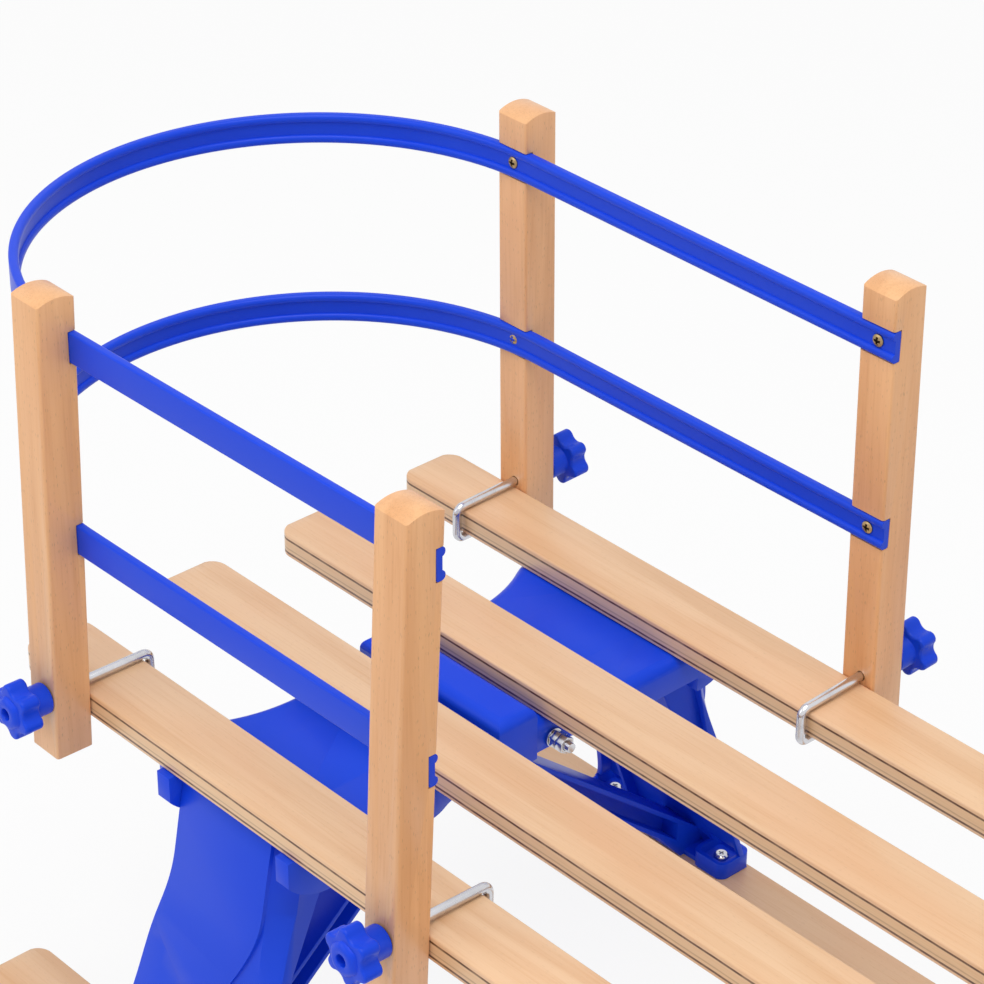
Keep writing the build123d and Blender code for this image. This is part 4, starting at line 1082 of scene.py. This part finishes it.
# ------------------------------------------------------------------ stage
def stage_material(colour):
    """Floor that looks near white to the camera and still takes a soft shadow."""
    material, tree, shader = new_material("pale floor")
    shader.inputs["Base Color"].default_value = opaque(colour)
    shader.inputs["Roughness"].default_value = 0.7
    shader.inputs["Specular IOR Level"].default_value = 0.1
    path = add(tree, "ShaderNodeLightPath")
    seen = maths(tree, "MAXIMUM", path.outputs["Is Camera Ray"], path.outputs["Is Glossy Ray"])
    seen = maths(tree, "MAXIMUM", seen, path.outputs["Is Transmission Ray"])
    glow = add(tree, "ShaderNodeEmission", in_Color=(1.0, 1.0, 1.0, 1.0), in_Strength=1.0)
    mix = add(tree, "ShaderNodeMixShader", in_0=maths(tree, "MULTIPLY", seen, 0.88))
    tree.links.new(shader.outputs[0], mix.inputs[1])
    tree.links.new(glow.outputs[0], mix.inputs[2])
    tree.links.new(mix.outputs[0], tree.nodes["Material Output"].inputs["Surface"])
    return material


def build_stage():
    """Pale floor, large soft lamps, light from all round and the camera."""
    sizes = bpy.context.scene.sled.stage
    scene = bpy.context.scene
    span_m = 30.0
    corners = np.array([[-1, -1, 0], [1, -1, 0], [1, 1, 0], [-1, 1, 0]], dtype=float) * span_m
    mesh = bpy.data.meshes.new("floor")
    mesh.from_pydata(corners.tolist(), [], [[0, 1, 2, 3]])
    mesh.materials.append(stage_material(sizes.floor))
    floor = bpy.data.objects.new("floor", mesh)
    scene.collection.objects.link(floor)

    world = bpy.data.worlds.new("studio")
    scene.world = world
    world.use_nodes = True
    tree = world.node_tree
    back = tree.nodes["Background"]
    back.inputs["Color"].default_value = (1.0, 1.0, 1.0, 1.0)
    path = add(tree, "ShaderNodeLightPath")
    seen = maths(tree, "MAXIMUM", path.outputs["Is Camera Ray"], path.outputs["Is Glossy Ray"])
    seen = maths(tree, "MAXIMUM", seen, path.outputs["Is Transmission Ray"])
    tree.links.new(maths(tree, "MULTIPLY_ADD", seen, 1.0 - sizes.sky, sizes.sky), back.inputs["Strength"])

    for name, place, aim, size, power in (
        ("key lamp", (0.3, -0.5, 2.8), (0.0, 0.0, 0.2), 2.2, sizes.key),
        ("fill lamp", (-1.6, -2.2, 1.6), (-0.2, 0.0, 0.2), 1.8, sizes.key * 0.30),
    ):
        lamp = bpy.data.lights.new(name, "AREA")
        lamp.shape = "DISK"
        lamp.size = size
        lamp.energy = power
        holder = bpy.data.objects.new(name, lamp)
        scene.collection.objects.link(holder)
        turn_towards(holder, place, aim)

    camera = bpy.data.cameras.new("camera")
    camera.lens = sizes.lens
    camera.sensor_width = 36.0
    holder = bpy.data.objects.new("camera", camera)
    scene.collection.objects.link(holder)
    holder.matrix_world = camera_matrix(sizes)
    scene.camera = holder
    scene.view_settings.view_transform = "Standard"


def turn_towards(holder, place, aim):
    """Put an object at a place with its -Z axis towards the aim."""
    holder.location = place
    holder.rotation_euler = (Vector(aim) - Vector(place)).to_track_quat("-Z", "Y").to_euler()


def camera_matrix(sizes):
    """World matrix of a camera from its heading, pitch and roll."""
    heading, pitch, roll = sizes.heading, sizes.pitch, sizes.roll
    flat = math.cos(pitch)
    ahead = np.array([flat * math.cos(heading), flat * math.sin(heading), math.sin(pitch)])
    level = np.array([math.sin(heading), -math.cos(heading), 0.0])
    above = np.cross(level, ahead)
    right = math.cos(roll) * level + math.sin(roll) * above
    up = -math.sin(roll) * level + math.cos(roll) * above
    matrix = np.eye(4)
    matrix[:3, 0], matrix[:3, 1], matrix[:3, 2] = right, up, -ahead
    matrix[:3, 3] = sizes.position
    return Matrix(matrix.tolist())


# ------------------------------------------------------------------ operators
class SLED_OT_slats(bpy.types.Operator):
    """Make the plywood seat slats"""
    bl_idname = "sled.slats"
    bl_label = "Seat slats"

    def execute(self, context):
        build_slats()
        return {"FINISHED"}


class SLED_OT_runners(bpy.types.Operator):
    """Make the curled plywood runners and their steel strips"""
    bl_idname = "sled.runners"
    bl_label = "Runners"

    def execute(self, context):
        build_runners()
        return {"FINISHED"}


class SLED_OT_posts(bpy.types.Operator):
    """Make the beech posts of the backrest"""
    bl_idname = "sled.posts"
    bl_label = "Backrest posts"

    def execute(self, context):
        build_posts()
        return {"FINISHED"}


class SLED_OT_bands(bpy.types.Operator):
    """Make the U-shaped bands of the backrest"""
    bl_idname = "sled.bands"
    bl_label = "Backrest bands"

    def execute(self, context):
        build_bands()
        return {"FINISHED"}


class SLED_OT_hooks(bpy.types.Operator):
    """Make the clamp rods of the backrest"""
    bl_idname = "sled.hooks"
    bl_label = "Clamp rods"

    def execute(self, context):
        build_hooks()
        return {"FINISHED"}


class SLED_OT_knobs(bpy.types.Operator):
    """Make the star knobs of the clamp rods"""
    bl_idname = "sled.knobs"
    bl_label = "Star knobs"

    def execute(self, context):
        build_knobs()
        return {"FINISHED"}


class SLED_OT_mouldings(bpy.types.Operator):
    """Make the crossbeams, legs and front bar"""
    bl_idname = "sled.mouldings"
    bl_label = "Mouldings"

    def execute(self, context):
        build_mouldings()
        return {"FINISHED"}


class SLED_OT_fasteners(bpy.types.Operator):
    """Make the screws, bolts and nuts"""
    bl_idname = "sled.fasteners"
    bl_label = "Fasteners"

    def execute(self, context):
        build_fasteners()
        return {"FINISHED"}


class SLED_OT_stage(bpy.types.Operator):
    """Set the floor, the lamps and the camera"""
    bl_idname = "sled.stage"
    bl_label = "Stage"

    def execute(self, context):
        build_stage()
        return {"FINISHED"}


class SLED_PT_panel(bpy.types.Panel):
    """Sled pieces and their settings"""
    bl_idname = "SLED_PT_panel"
    bl_label = "Sled"
    bl_space_type = "VIEW_3D"
    bl_region_type = "UI"
    bl_category = "Sled"

    def draw(self, context):
        for operator in OPERATORS:
            self.layout.operator(operator.bl_idname)
        settings = context.scene.sled
        for part in ("plywood", "backrest", "moulding", "metal", "stage"):
            box = self.layout.box()
            box.label(text=part.capitalize())
            group = getattr(settings, part)
            for name in group.__annotations__:
                box.prop(group, name)


OPERATORS = (
    SLED_OT_slats,
    SLED_OT_runners,
    SLED_OT_posts,
    SLED_OT_bands,
    SLED_OT_hooks,
    SLED_OT_knobs,
    SLED_OT_mouldings,
    SLED_OT_fasteners,
    SLED_OT_stage,
)
CLASSES = (
    PlywoodSettings,
    BackrestSettings,
    MouldingSettings,
    MetalSettings,
    StageSettings,
    SledSettings,
    *OPERATORS,
    SLED_PT_panel,
)


def register():
    for made in CLASSES:
        bpy.utils.register_class(made)
    bpy.types.Scene.sled = PointerProperty(type=SledSettings)


def unregister():
    del bpy.types.Scene.sled
    for made in reversed(CLASSES):
        bpy.utils.unregister_class(made)


def main():
    """Register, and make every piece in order."""
    register()
    for operator in OPERATORS:
        family, name = operator.bl_idname.split(".")
        getattr(getattr(bpy.ops, family), name)()


if __name__ == "__main__":
    main()
